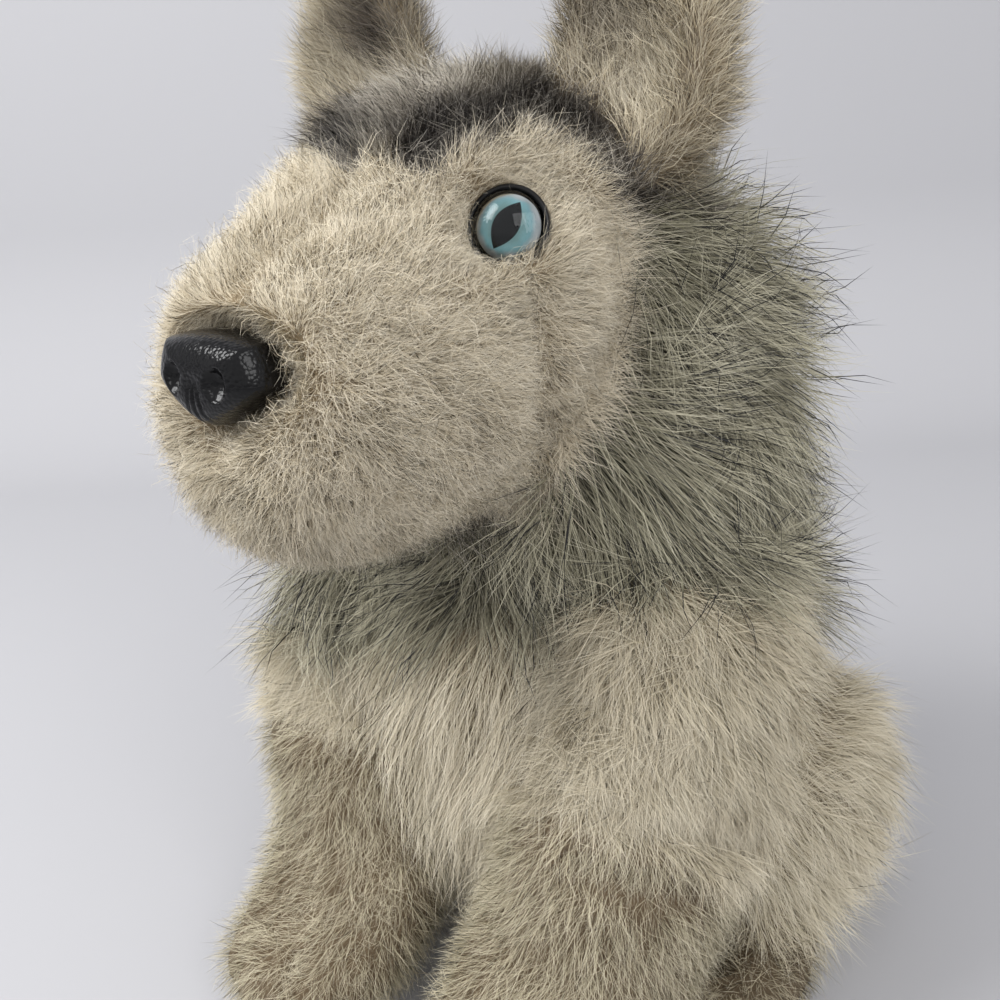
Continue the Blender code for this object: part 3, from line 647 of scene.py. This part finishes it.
def meshOfHair(name, lines, wide, tone, up, material):
    count, stations = lines.shape[:2]
    rows = stations - 1
    perHair = rows * 2 + 1
    co = np.zeros((count, perHair, 3))
    for k in range(rows):
        half = wide * (1 - 0.6 * k / rows) / 2
        co[:, 2 * k] = lines[:, k] - half
        co[:, 2 * k + 1] = lines[:, k] + half
    co[:, -1] = lines[:, -1]
    first = np.arange(count)[:, None] * perHair
    quads = [[2 * k, 2 * k + 1, 2 * k + 3, 2 * k + 2] for k in range(rows - 1)]
    tip = [2 * rows - 2, 2 * rows - 1, 2 * rows]
    corners = np.array(sum(quads, []) + tip)
    sizes = np.array([4] * (rows - 1) + [3])
    loops = (first + corners).ravel()
    totals = np.tile(sizes, count)
    mesh = bpy.data.meshes.new(name)
    mesh.vertices.add(count * perHair)
    mesh.vertices.foreach_set("co", co.astype(np.float32).ravel())
    mesh.loops.add(len(loops))
    mesh.loops.foreach_set("vertex_index", loops.astype(np.int32))
    mesh.polygons.add(len(totals))
    mesh.polygons.foreach_set("loop_start", (np.cumsum(totals) - totals).astype(np.int32))
    mesh.update(calc_edges=True)
    along = np.repeat(np.arange(rows) / rows, 2).tolist() + [1.0]
    aside = np.array([-0.004, 0.004] * rows + [0.0])
    u = np.clip(tone, 0.01, 0.99)[:, None] + aside[None]
    v = np.tile(0.01 + 0.98 * np.array(along), (count, 1))
    uv = np.stack([u, v], axis=2).reshape(-1, 2)[loops]
    layer = mesh.uv_layers.new(name="OFBake")
    layer.data.foreach_set("uv", uv.astype(np.float32).ravel())
    mesh.polygons.foreach_set("use_smooth", np.ones(len(totals), bool))
    mesh.materials.append(material)
    hair = bpy.data.objects.new(name, mesh)
    bpy.context.scene.collection.objects.link(hair)
    mesh.normals_split_custom_set_from_vertices(np.repeat(up, perHair, axis=0).reshape(-1, 3).tolist())
    return hair


def rampNode(tree, stops):
    ramp = tree.nodes.new("ShaderNodeValToRGB").color_ramp
    for k, (spot, colour) in enumerate(stops):
        stop = ramp.elements[k] if k < 2 else ramp.elements.new(spot)
        stop.position = spot
        stop.color = (*colour, 1)
    return tree.nodes[-1]


def linear(r, g, b):
    return tuple((c / 255 / 12.92) if c < 11 else ((c / 255 + 0.055) / 1.055) ** 2.4 for c in (r, g, b))


def addNode(tree, kind, inputs=None, **settings):
    node = tree.nodes.new("ShaderNode" + kind)
    for key, value in settings.items():
        setattr(node, key, value)
    for socket, value in (inputs or {}).items():
        if hasattr(value, "links"):
            tree.links.new(value, node.inputs[socket])
        else:
            node.inputs[socket].default_value = value
    return node


def mixed(tree, share, first, second):
    return addNode(tree, "Mix", {0: share, 6: first, 7: second}, data_type="RGBA").outputs[2]


def newMaterial(name, rough, gloss=0.5):
    mat = bpy.data.materials.new(name)
    mat.use_nodes = True
    shader = mat.node_tree.nodes["Principled BSDF"]
    shader.inputs["Roughness"].default_value = rough
    shader.inputs["Specular IOR Level"].default_value = gloss
    return mat, mat.node_tree, shader


def pileMaterial(name, look):
    mat, tree, shader = newMaterial(name, 0.55, 0.30)
    uv = addNode(tree, "UVMap", uv_map="OFBake")
    split = addNode(tree, "SeparateXYZ", {0: uv.outputs[0]})
    ramps = {}
    for kind in ("dark", "pale", "guard"):
        if kind in look:
            ramps[kind] = rampNode(tree, [(s, linear(*c)) for s, c in look[kind]]).outputs[0]
            tree.links.new(split.outputs["Y"], ramps[kind].node.inputs[0])
    colour = mixed(tree, split.outputs["X"], ramps["dark"], ramps["pale"])
    if "guard" in look:
        test = addNode(tree, "Math", {0: split.outputs["X"], 1: guardHair["above"]}, operation="GREATER_THAN")
        colour = mixed(tree, test.outputs[0], colour, ramps["guard"])
    tree.links.new(colour, shader.inputs["Base Color"])
    return mat


# The room in front of the nose and the eyes that hair stays out of
clearing = {"back": -0.004, "front": 0.03, "nose": 0.98, "noseTop": 0.16, "stray": 0.012}


def clearOf(line, rng):
    # Drops most hairs that would cross the nose or an eye
    hit = np.zeros(len(line), bool)
    low, high = clearing["back"], clearing["front"]
    for k in range(1, line.shape[1]):
        local = localTo(line[:, k], noseFrame, noseBase)
        edge = clearing["nose"] - clearing["noseTop"] * np.clip(local[:, 1] / nose["height"], 0, 1)
        hit |= (noseReach(local) < edge) & (local[:, 2] > low) & (local[:, 2] < high)
        for side, axes, seat in eyeSeats.values():
            local = localTo(line[:, k], axes, seat)
            far = np.hypot(local[:, 0], local[:, 1])
            edge = eye["cup"] * (1 - lidShare(local, side))
            hit |= (far < edge) & (local[:, 2] > low) & (local[:, 2] < high)
    return ~hit | (rng.random(len(line)) < clearing["stray"])


# What growHair takes unless a piece of hair says otherwise
usual = {
    "sway": 0.30,  # how far whole locks turn from the combing, over sizes of 34 and 11 mm
    "curls": 0.25,
    "loose": 0.18,  # how far single hairs do
    "longer": 1,
    "flatter": 0,  # degrees
    "lift": 0,
    "clumping": 1,
    "clumpSize": 0.0055,
    "kink": 0.045,
    "wider": 1,
    "clumpShading": 0.10,  # painted shade: how much darker the hair between two clumps is, and lighter at their middles
    "guardShare": 0,
}
guardHair = {"above": 0.9, "tone": 0.95, "longer": 0.10, "wider": 1.5, "others": (0.02, 0.86)}
hairLimits = {
    "sunk": 0.0008,  # of the roots, under the backing
    "lowest": 0.0006,  # over the table
    "past": 0.009,  # how far hair may reach past the CAD's box
}
byNose = {"short": 0.55, "reach": 0.9, "deep": 0.02}


def combedWay(root, up, share, seed, settings, rng):
    way = unit(sum(share[:, k:k + 1] * combing[n](root) for k, n in enumerate(zoneNames)))
    way = way + waves(root, 0.034, seed + 5) * settings["sway"]
    way = way + waves(root, 0.011, seed + 6) * settings["curls"]
    way = unit(way + rng.normal(size=way.shape) * settings["loose"])
    seam = (up[:, 2] > parting["upward"]) * (root[:, 2] > parting["above"])
    seam = seam * (root[:, 1] < parting["back"] - parting["fade"])
    way[:, 0] += parting["away"] * np.sign(root[:, 0]) * np.exp(-(root[:, 0] / parting["wide"]) ** 2) * seam
    return unit(way - up * (way * up).sum(1, keepdims=True))


def hairLength(root, share, parted, seed, settings, rng):
    length = mixOf(share, "length") * rng.uniform(0.70, 1.12, len(root)) * settings["longer"]
    length *= 1 + 0.15 * waves(root, 0.02, seed + 9, 1)[:, 0]
    length *= 1 - parting["short"] * parted
    local = localTo(root, noseFrame, noseBase)
    away = np.clip((noseReach(local) - 1) / byNose["reach"], 0, 1) ** (np.abs(local[:, 2]) < byNose["deep"])
    return length * (byNose["short"] + (1 - byNose["short"]) * away)


def growHair(name, slot, look, zoneList, count, stations=3, tone=None, region=None, seed=1, **change):
    settings = {**usual, **change}
    rng = np.random.default_rng(seed)
    root, up, share = rootsIn(zoneList, count, rng, region)
    count = len(root)
    way = combedWay(root, up, share, seed, settings, rng)
    parted = partedAt(root, up, share)
    length = hairLength(root, share, parted, seed, settings, rng)
    lean = mixOf(share, "lean") + rng.normal(size=count) * 10
    lean = lean + 10 * waves(root, 0.018, seed + 3, 1)[:, 0] + settings["flatter"]
    lean = np.radians(np.clip(lean, 4, 84))
    bend = np.radians(mixOf(share, "bend") * rng.uniform(0.4, 1.6, count))
    clump = mixOf(share, "clump") * rng.uniform(0.5, 1.2, count) * settings["clumping"]
    pull = clumpCentres(root, settings["clumpSize"], seed) - root
    pull -= up * (pull * up).sum(1, keepdims=True)
    line = np.zeros((count, stations, 3))
    line[:, 0] = root + up * (settings["lift"] - hairLimits["sunk"])
    for k in range(1, stations):
        part = (k - 0.5) / (stations - 1)
        angle = np.minimum(lean + bend * (part - 0.3) * 1.6, 1.5)[:, None]
        ahead = up * np.cos(angle) + way * np.sin(angle)
        line[:, k] = line[:, k - 1] + ahead * (length / (stations - 1))[:, None]
    for k in range(1, stations):
        reach = (k / (stations - 1)) ** 1.3
        line[:, k] += pull * (clump * reach)[:, None]
        line[:, k] += rng.normal(size=(count, 3)) * (settings["kink"] * length * reach)[:, None]
    line[:, :, 2] = np.maximum(line[:, :, 2], hairLimits["lowest"])
    line = np.clip(line, np.array(cadBox[0]) - hairLimits["past"], np.array(cadBox[1]) + hairLimits["past"])
    along = unit(line[:, 1] - line[:, 0])
    flat = unit(np.cross(along, up) + rng.normal(size=(count, 3)) * 0.35)
    wide = mixOf(share, "width") * rng.uniform(0.7, 1.25, count) * settings["wider"]
    shade = np.full(count, 0.5) if tone is None else tone(root, up)
    shade = shade + rng.normal(size=count) * 0.17 + 0.10 * waves(root, 0.012, seed + 21, 1)[:, 0]
    # Painted shade: hair in the partings and creases is darker
    shade = shade - 0.25 * parted
    aside = np.linalg.norm(pull, axis=1) / settings["clumpSize"]
    # Painted shade between clumps and painted light at their middles
    shade -= settings["clumpShading"] * (aside - 0.45)
    if settings["guardShare"]:
        guard = rng.random(count) < settings["guardShare"]
        shade = np.where(guard, guardHair["tone"], np.clip(shade, *guardHair["others"]))
        line[:, 1:] += (line[:, 1:] - line[:, :1]) * np.where(guard, guardHair["longer"], 0)[:, None, None]
        wide = np.where(guard, wide * guardHair["wider"], wide)
    across = np.cross(along, flat)
    across = across * np.sign((across * up).sum(1))[:, None]
    soft = unit(up * 0.75 + across * 0.35 + rng.normal(size=(count, 3)) * 0.10)
    keep = clearOf(line, rng)
    hair = meshOfHair(name, line[keep], (flat * wide[:, None])[keep], np.clip(shade, 0.02, 0.97)[keep],
                      soft[keep], materials[look])
    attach(hair, "root")
    print(name, int(keep.sum()), "hairs,", int(keep.sum()) * (2 * stations - 3), "triangles")


looks = {
    "cream": {
        "dark": [(0.0, (132, 116, 90)), (0.35, (176, 161, 133)), (0.8, (206, 194, 168)),
                 (1.0, (222, 213, 190))],
        "pale": [(0.0, (172, 157, 128)), (0.35, (214, 202, 176)), (0.8, (235, 226, 206)),
                 (1.0, (250, 245, 230))],
    },
    "crown": {
        "dark": [(0.0, (30, 28, 26)), (0.5, (48, 44, 41)), (0.8, (84, 78, 72)), (1.0, (150, 143, 132))],
        "pale": [(0.0, (76, 69, 59)), (0.35, (136, 128, 115)), (0.7, (196, 188, 172)),
                 (1.0, (244, 239, 226))],
    },
    "ear": {
        "dark": [(0.0, (40, 36, 32)), (0.5, (64, 57, 51)), (1.0, (118, 108, 95))],
        "pale": [(0.0, (160, 143, 112)), (0.4, (206, 192, 162)), (0.8, (230, 220, 195)),
                 (1.0, (245, 238, 219))],
    },
    "ruff": {
        "dark": [(0.0, (36, 33, 26)), (0.3, (86, 82, 66)), (0.7, (140, 135, 112)), (1.0, (184, 179, 154))],
        "pale": [(0.0, (96, 90, 71)), (0.3, (160, 154, 129)), (0.7, (210, 204, 178)),
                 (1.0, (240, 235, 215))],
        "guard": [(0.0, (116, 112, 92)), (0.36, (140, 136, 112)), (0.50, (30, 29, 27)), (1.0, (8, 8, 8))],
    },
    "long": {
        "dark": [(0.0, (124, 111, 86)), (0.35, (172, 160, 133)), (0.8, (204, 193, 168)),
                 (1.0, (220, 212, 190))],
        "pale": [(0.0, (166, 152, 124)), (0.35, (210, 200, 174)), (0.8, (233, 225, 204)),
                 (1.0, (248, 243, 227))],
    },
    "leg": {
        "dark": [(0.0, (98, 90, 68)), (0.4, (148, 138, 112)), (0.8, (186, 176, 148)),
                 (1.0, (210, 201, 175))],
        "pale": [(0.0, (142, 131, 104)), (0.4, (194, 184, 156)), (0.8, (226, 217, 191)),
                 (1.0, (244, 238, 219))],
    },
}
materials = {name: pileMaterial("pile_" + name, look) for name, look in looks.items()}


def backingMaterial():
    mat, tree, shader = newMaterial("backing_cloth", 0.9)
    zone = addNode(tree, "VertexColor", layer_name="cloth")
    place = addNode(tree, "TexCoord")
    fine = addNode(tree, "TexNoise", {"Vector": place.outputs["Object"], "Scale": 900, "Detail": 4})
    bump = addNode(tree, "Bump", {"Height": fine.outputs[0], "Distance": 0.001})
    tree.links.new(zone.outputs[0], shader.inputs["Base Color"])
    tree.links.new(bump.outputs[0], shader.inputs["Normal"])
    return mat


def dressBacking():
    cloth = softShares @ np.array([linear(*z["cloth"]) for z in zones.values()])
    layer = backing.data.color_attributes.new("cloth", "FLOAT_COLOR", "POINT")
    layer.data.foreach_set("color", np.concatenate([cloth, np.ones((len(cloth), 1))], axis=1)
                           .astype(np.float32).ravel())
    backing.data.materials.append(backingMaterial())
    bpy.ops.object.select_all(action="DESELECT")
    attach(backing, "root")
    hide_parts(*covers, *fillings)


dressBacking()

# Dark marks: line and reach in the photograph's pixels
marks = {
    "band": (((322, 150), (395, 140), (428, 156), (470, 126), (530, 112), (590, 128), (640, 176)), 20),
    "vee": (((428, 135), (432, 166)), 15),
    "corner": (((636, 150), (650, 196)), 18),
    "mouth": (((170, 446), (222, 456)), 22),
}


def faceTone(p, up):
    uv = inPicture(p)
    brown = 0.45 * nearLine(uv, *marks["mouth"]) * seen(p, up)
    # Painted shade along the seam in the valley over the muzzle and forehead
    seam = 0.25 * np.exp(-(p[:, 0] / 0.003) ** 2) * (up[:, 2] > 0.3)
    return 0.52 - brown - seam


def crownTone(p, up):
    uv = inPicture(p)
    dark = sum(nearLine(uv, *marks[k]) for k in ("band", "vee", "corner"))
    return 0.92 - 0.97 * np.minimum(dark, 1) * seen(p, up)


def earTone(p, up):
    # Darker towards the middle of each ear, and more on the right ear; the right ear's extra darkness is
    # painted shade
    centre = np.array((0.0400, -0.057, 0.319))
    far = np.linalg.norm(np.concatenate([np.abs(p[:, :1]), p[:, 1:]], axis=1) - centre, axis=1)
    return 0.70 - 0.95 * np.exp(-(far / 0.0140) ** 2) * np.where(p[:, 0] < 0, 1.0, 0.45)


def ruffTone(p, up):
    # Painted shade under the chin
    chinShade = np.exp(-((p[:, 2] - 0.178) / 0.012) ** 2) * (p[:, 1] < -0.06)
    return 0.52 - 0.30 * chinShade + 0.18 * waves(p, 0.030, 77, 1)[:, 0]


def frizzTone(p, up):
    return np.full(len(p), 0.92)


def shadedArmTone(p, up):
    # Upper arms: a darker tone, painted shade over the shoulders, varied at random
    return 0.28 + 0.14 * waves(p, 0.020, 79, 1)[:, 0]


def haunchTone(p, up):
    return 0.66 + 0.10 * waves(p, 0.016, 80, 1)[:, 0]


def legTone(p, up):
    return 0.72 + 0.14 * waves(p, 0.008, 78, 1)[:, 0]


def leftSide(p):
    return p[:, 0] > 0


def rightSide(p):
    return p[:, 0] <= 0


# Families of hair: slot, look, zones and tone, then how many and what differs, for the undercoat and the hair
pile = {
    "crown": ("crown_plush", "crown", ["crown"], crownTone, 22000, {"seed": 13, "longer": 0.8, "loose": 0.5},
              20000, {"seed": 14, "loose": 0.4, "kink": 0.08}),
    "ears": ("ear_plush", "ear", ["earBack", "earCup"], earTone,
             22000, {"seed": 15, "longer": 0.8, "loose": 0.5},
             16000, {"seed": 16, "loose": 0.5, "kink": 0.09}),
    "ruff": ("ruff_pile", "ruff", ["ruff", "back"], ruffTone,
             20000, {"seed": 17, "longer": 0.8, "wider": 1.1},
             28000, {"seed": 18, "stations": 4, "guardShare": 0.20, "clumpSize": 0.010, "clumping": 1.2,
                     "curls": 0.35, "sway": 0.55, "clumpShading": 0.45}),
    "body": ("body_pile", "long", ["chest", "side"], None,
             10000, {"seed": 19, "longer": 0.7, "wider": 1.2, "sway": 0.10, "curls": 0.12},
             13000, {"seed": 20, "stations": 4, "clumpSize": 0.012, "loose": 0.16, "sway": 0.12,
                     "curls": 0.15, "clumpShading": 0.30}),
    "upper_arms": ("body_pile", "long", ["upperArm"], shadedArmTone,
                   18000, {"seed": 21, "longer": 0.75, "wider": 1.2, "loose": 0.4},
                   18000, {"seed": 22, "clumpSize": 0.010, "loose": 0.35, "curls": 0.55, "kink": 0.07,
                           "clumpShading": 0.25}),
    "forelegs": ("leg_plush", "leg", ["foreleg", "hindFoot"], legTone,
                 36000, {"seed": 23, "longer": 0.85, "loose": 0.7},
                 18000, {"seed": 24, "loose": 0.6, "kink": 0.10}),
    "haunches": ("body_pile", "long", ["haunch", "tail"], None,
                 12000, {"seed": 25, "longer": 0.75, "wider": 1.2},
                 15000, {"seed": 26, "clumpSize": 0.012, "curls": 0.4, "clumpShading": 0.30, "tone": haunchTone}),
}
facePile = {
    "undercoat_face_": dict(stations=2, tone=faceTone, seed=11, longer=0.85, loose=0.7, curls=0.4),
    "hair_face_": dict(tone=faceTone, seed=12, loose=0.7, curls=0.5, kink=0.10),
    "frizz_face_": dict(stations=4, tone=frizzTone, seed=31, loose=1.5, kink=0.22, lift=0.0045, flatter=38,
                        wider=0.62),
}
faceCounts = {"left": (leftSide, (62000, 34000, 5000)), "right": (rightSide, (42000, 20000, 2500))}

for tag, (region, counts) in faceCounts.items():
    for (name, settings), count in zip(facePile.items(), counts):
        growHair(name + tag, "cream_plush", "cream", ["face"], count, region=region, **settings)
for family, (slot, look, zoneList, tone, underCount, under, topCount, top) in pile.items():
    growHair("undercoat_" + family, slot, look, zoneList, underCount, tone=tone, stations=2, **under)
    growHair("hair_" + family, slot, look, zoneList, topCount, **{"tone": tone, **top})


# Plastic parts: nose and eyes
def plastic(name, colour, rough, grain=None):
    mat, tree, shader = newMaterial(name, rough, 0.26)
    shader.inputs["Base Color"].default_value = (*linear(*colour), 1)
    if grain:
        place = addNode(tree, "TexCoord")
        dots = addNode(tree, "TexVoronoi", {"Vector": place.outputs["Object"], "Scale": grain,
                                            "Randomness": 0.9})
        bump = addNode(tree, "Bump", {"Height": dots.outputs["Distance"], "Distance": 0.00025,
                                      "Strength": 0.60}, invert=True)
        tree.links.new(bump.outputs[0], shader.inputs["Normal"])
    return mat


def settle(obj, local, axes, seat):
    # Local coordinates of a plastic part become places in the scene
    movePoints(obj.data, local @ axes.T + seat)
    edited(obj, bpy.ops.mesh.normals_make_consistent, inside=False)
    bpy.ops.object.shade_smooth()


nostril = {"x": 0.0078, "y": 0.0002, "wide": 0.0026, "tall": 0.0032, "deep": 0.0030, "edge": 1.25,
           "wall": 0.6}
philtrum = {"top": 0.0010, "deep": 0.0007, "width": 0.00035, "spread": (0.0011, 0.0034),
            "sides": 0.8}


def addNose():
    bpy.ops.mesh.primitive_uv_sphere_add(segments=112, ring_count=80, radius=1)
    obj = bpy.context.object
    obj.name = "nose_form"
    x, y, z = points(obj.data).T
    far = np.maximum(np.hypot(x, y), 1e-6)
    grow = far ** (nose["rounding"] - 1)
    x, y, z = x * grow, y * grow, np.maximum(z, 0) ** nose["rounding"]
    square = np.hypot(x, y) / np.maximum(np.maximum(np.abs(x), np.abs(y)), 1e-6)
    upper = np.clip(y * nose["squareFrom"], 0, 1)
    square = 1 + (np.minimum(square, 1.41) ** nose["square"] - 1) * upper
    taper = 1 - nose["taper"] * np.maximum(0, -y) ** nose["narrowing"]
    x, y, z = x * taper * square * nose["width"], y * square * nose["height"], z * nose["depth"]
    front = z > nose["depth"] * nose["front"]
    for side in (1, -1):
        dip = np.hypot((x - side * nostril["x"]) / nostril["wide"], (y - nostril["y"]) / nostril["tall"])
        z -= nostril["deep"] * np.clip(nostril["edge"] - dip, 0, 1) ** nostril["wall"] * front
    lower = y < philtrum["top"]
    fall = np.clip((philtrum["top"] - y) / (nose["height"] + philtrum["top"]), 0, 1)
    outer = philtrum["spread"][0] + (philtrum["spread"][1] - philtrum["spread"][0]) * fall
    for place, deep in ((np.zeros_like(outer), 1.0), (outer, philtrum["sides"]), (-outer, philtrum["sides"])):
        z -= philtrum["deep"] * deep * np.exp(-((x - place) / philtrum["width"]) ** 2) * lower * front
    settle(obj, np.stack([x, y, z], axis=1), noseFrame, noseBase)
    obj.data.materials.append(plastic("nose_plastic", (5, 5, 6), 0.20, grain=950))
    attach(obj, "root")
    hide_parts("nose")


def turnedPiece(name, profile, axes, seat, steps=56):
    mesh = bpy.data.meshes.new(name)
    mesh.from_pydata([(x, 0, z) for x, z in profile], [(k, k + 1) for k in range(len(profile) - 1)], [])
    obj = bpy.data.objects.new(name, mesh)
    bpy.context.scene.collection.objects.link(obj)
    applied(obj, "SCREW", steps=steps, render_steps=steps, use_merge_vertices=True,
            merge_threshold=0.000001)
    local = points(obj.data)
    settle(obj, local, axes, seat)
    layer = obj.data.uv_layers.new(name="print")
    corner = np.zeros(len(obj.data.loops), np.int32)
    obj.data.loops.foreach_get("vertex_index", corner)
    flat = 0.5 + local[:, :2] / (2 * eye["cup"])
    layer.data.foreach_set("uv", flat[corner].astype(np.float32).ravel())
    return obj


iris = {
    "pupil": (0.33, 0.62),  # half of its width and of its height, in radii
    "soft": 0.05,
    "wobble": 0.22,
    "rings": [(0.0, (70, 92, 90)), (0.42, (96, 122, 122)), (0.60, (112, 148, 154)), (0.70, (156, 160, 162)),
              (0.80, (186, 186, 188)), (0.87, (84, 84, 86))],
}


def irisMaterial(side):
    mat, tree, shader = newMaterial("iris_" + ("left" if side > 0 else "right"), 0.5, 0.05)

    def maths(operation, *values):
        return addNode(tree, "Math", dict(enumerate(values)), operation=operation).outputs[0]

    uv = addNode(tree, "UVMap", uv_map="print")
    split = addNode(tree, "SeparateXYZ", {0: uv.outputs[0]})
    x = maths("SUBTRACT", maths("MULTIPLY", split.outputs["X"], 2), 1)
    y = maths("SUBTRACT", maths("MULTIPLY", split.outputs["Y"], 2), 1)
    far = maths("POWER", maths("ADD", maths("MULTIPLY", x, x), maths("MULTIPLY", y, y)), 0.5)
    turn = radians(eye["turn"]) * side
    across = maths("ADD", maths("MULTIPLY", x, cos(turn)), maths("MULTIPLY", y, -sin(turn)))
    upward = maths("ADD", maths("MULTIPLY", x, sin(turn)), maths("MULTIPLY", y, cos(turn)))
    tall = maths("POWER", maths("DIVIDE", maths("ABSOLUTE", upward), iris["pupil"][1]), 2)
    slit = maths("ADD", maths("DIVIDE", maths("ABSOLUTE", across), iris["pupil"][0]), tall)
    place = addNode(tree, "TexCoord")
    streaks = addNode(tree, "TexNoise", {"Vector": place.outputs["Object"], "Scale": 420, "Detail": 3})
    wobble = maths("MULTIPLY", maths("SUBTRACT", streaks.outputs[0], 0.5), iris["wobble"])
    rings = rampNode(tree, [(s, linear(*c)) for s, c in iris["rings"]])
    tree.links.new(maths("ADD", far, wobble), rings.inputs[0])
    mask = maths("MULTIPLY", maths("SUBTRACT", slit, 1 - iris["soft"]), 1 / iris["soft"])
    clamp = addNode(tree, "Clamp", {0: mask})
    black = tree.nodes.new("ShaderNodeRGB")
    black.outputs[0].default_value = (*linear(5, 5, 6), 1)
    colour = mixed(tree, clamp.outputs[0], black.outputs[0], rings.outputs[0])
    tree.links.new(colour, shader.inputs["Base Color"])
    return mat


def clearMaterial():
    mat, tree, shader = newMaterial("lens_plastic", 0.5)
    tree.nodes.remove(shader)
    clear = addNode(tree, "BsdfTransparent", {0: (0.96, 0.98, 0.98, 1)})
    gloss = addNode(tree, "BsdfGlossy", {"Roughness": 0.03})
    edge = addNode(tree, "Fresnel", {0: 1.30})
    surface = addNode(tree, "MixShader", {0: edge.outputs[0], 1: clear.outputs[0], 2: gloss.outputs[0]})
    tree.links.new(surface.outputs[0], tree.nodes["Material Output"].inputs["Surface"])
    return mat


def arc(radius, low, high, steps, shrink=1.0):
    return [(radius * shrink * sin(k * pi / 2 / steps), low + (high - low) * cos(k * pi / 2 / steps))
            for k in range(steps + 1)]


def addEyes():
    black = plastic("eye_cup_plastic", (14, 14, 15), 0.28)
    clear = clearMaterial()
    cup, lens, rim, bevel = eye["cup"], eye["lens"], eye["rim"], eye["bevel"]
    inner = lens - eye["clear"]
    floor = (lens + eye["play"], eye["floor"])
    outlines = {
        "print": arc(inner, 0.0, eye["print"], 10) + [(inner, eye["under"]), (0, eye["under"])],
        "cup": [(0, eye["floor"]), floor, (floor[0], rim - bevel), (lens + eye["clear"], rim),
                (cup - eye["round"], rim), (cup - eye["play"], rim - bevel), (cup, rim - eye["shoulder"]),
                (cup, eye["low"]), (0, eye["low"])],
        "dome": arc(lens, eye["clear"], eye["dome"], 14) + [(lens, 0.0), (lens - bevel, -eye["clear"])]
        + [(r, z + eye["gap"]) for r, z in arc(inner, 0.0, eye["print"], 10)[::-1]],
    }
    for tag, (side, axes, seat) in eyeSeats.items():
        printed = turnedPiece("iris_" + tag + "_print", outlines["print"], axes, seat)
        printed.data.materials.append(irisMaterial(side))
        shell = turnedPiece("cup_" + tag, outlines["cup"], axes, seat)
        shell.data.materials.append(black)
        dome = turnedPiece("dome_" + tag, outlines["dome"], axes, seat)
        dome.data.materials.append(clear)
        for obj, slot, node in ((printed, "iris_print", "eye_iris_"), (shell, "black_plastic", "eye_back_"),
                                (dome, "clear_plastic", "eye_lens_")):
            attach(obj, "root")
            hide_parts(node + tag)


addNose()
addEyes()
print("plastic parts added")


# Stage: a pale table top that turns up into a wall behind the wolf
stage = {
    "near": -5.0,
    "far": 0.50,
    "bend": 0.20,
    "high": 2.6,
    "half": 6.0,
    "steps": 12,
    "colour": (0.49, 0.49, 0.505),
    "sky": (0.97, 0.97, 1.0),
    "light": 0.87,
    "lamps": (((-0.45, -0.75, 1.05), 0.55, 12), ((0.95, -0.55, 0.95), 0.7, 6.5)),
    "aim": (0, -0.05, 0.2),
}


def addStage():
    turn = radians(camera["azimuth"])
    back = Vector((-sin(turn), cos(turn), 0))
    side = Vector((cos(turn), sin(turn), 0))
    bend = stage["bend"]
    profile = [(stage["near"], 0.0)]
    profile += [(stage["far"] + bend * sin(a), bend * (1 - cos(a)))
                for a in (k * pi / 2 / stage["steps"] for k in range(stage["steps"] + 1))]
    profile.append((stage["far"] + bend, stage["high"]))
    verts = []
    for away, high in profile:
        for s in (-1, 1):
            verts.append(back * away + side * s * stage["half"] + Vector((0, 0, high)))
    faces = [(2 * k, 2 * k + 1, 2 * k + 3, 2 * k + 2) for k in range(len(profile) - 1)]
    mesh = bpy.data.meshes.new("backdrop")
    mesh.from_pydata(verts, [], faces)
    floor = bpy.data.objects.new("backdrop", mesh)
    bpy.context.scene.collection.objects.link(floor)
    select(floor)
    bpy.ops.object.shade_smooth()
    mat, tree, shader = newMaterial("table_top", 0.8)
    shader.inputs["Base Color"].default_value = (*stage["colour"], 1)
    floor.data.materials.append(mat)
    world = bpy.data.worlds.new("room")
    bpy.context.scene.world = world
    world.use_nodes = True
    sky = world.node_tree.nodes["Background"]
    sky.inputs[0].default_value = (*stage["sky"], 1)
    sky.inputs[1].default_value = stage["light"]
    for place, size, power in stage["lamps"]:
        bpy.ops.object.light_add(type="AREA", location=place)
        lamp = bpy.context.object
        lamp.data.size = size
        lamp.data.energy = power
        lamp.rotation_mode = "QUATERNION"
        lamp.rotation_quaternion = (Vector(place) - Vector(stage["aim"])).to_track_quat("Z", "Y")


addStage()
bpy.context.scene.view_settings.view_transform = "Standard"
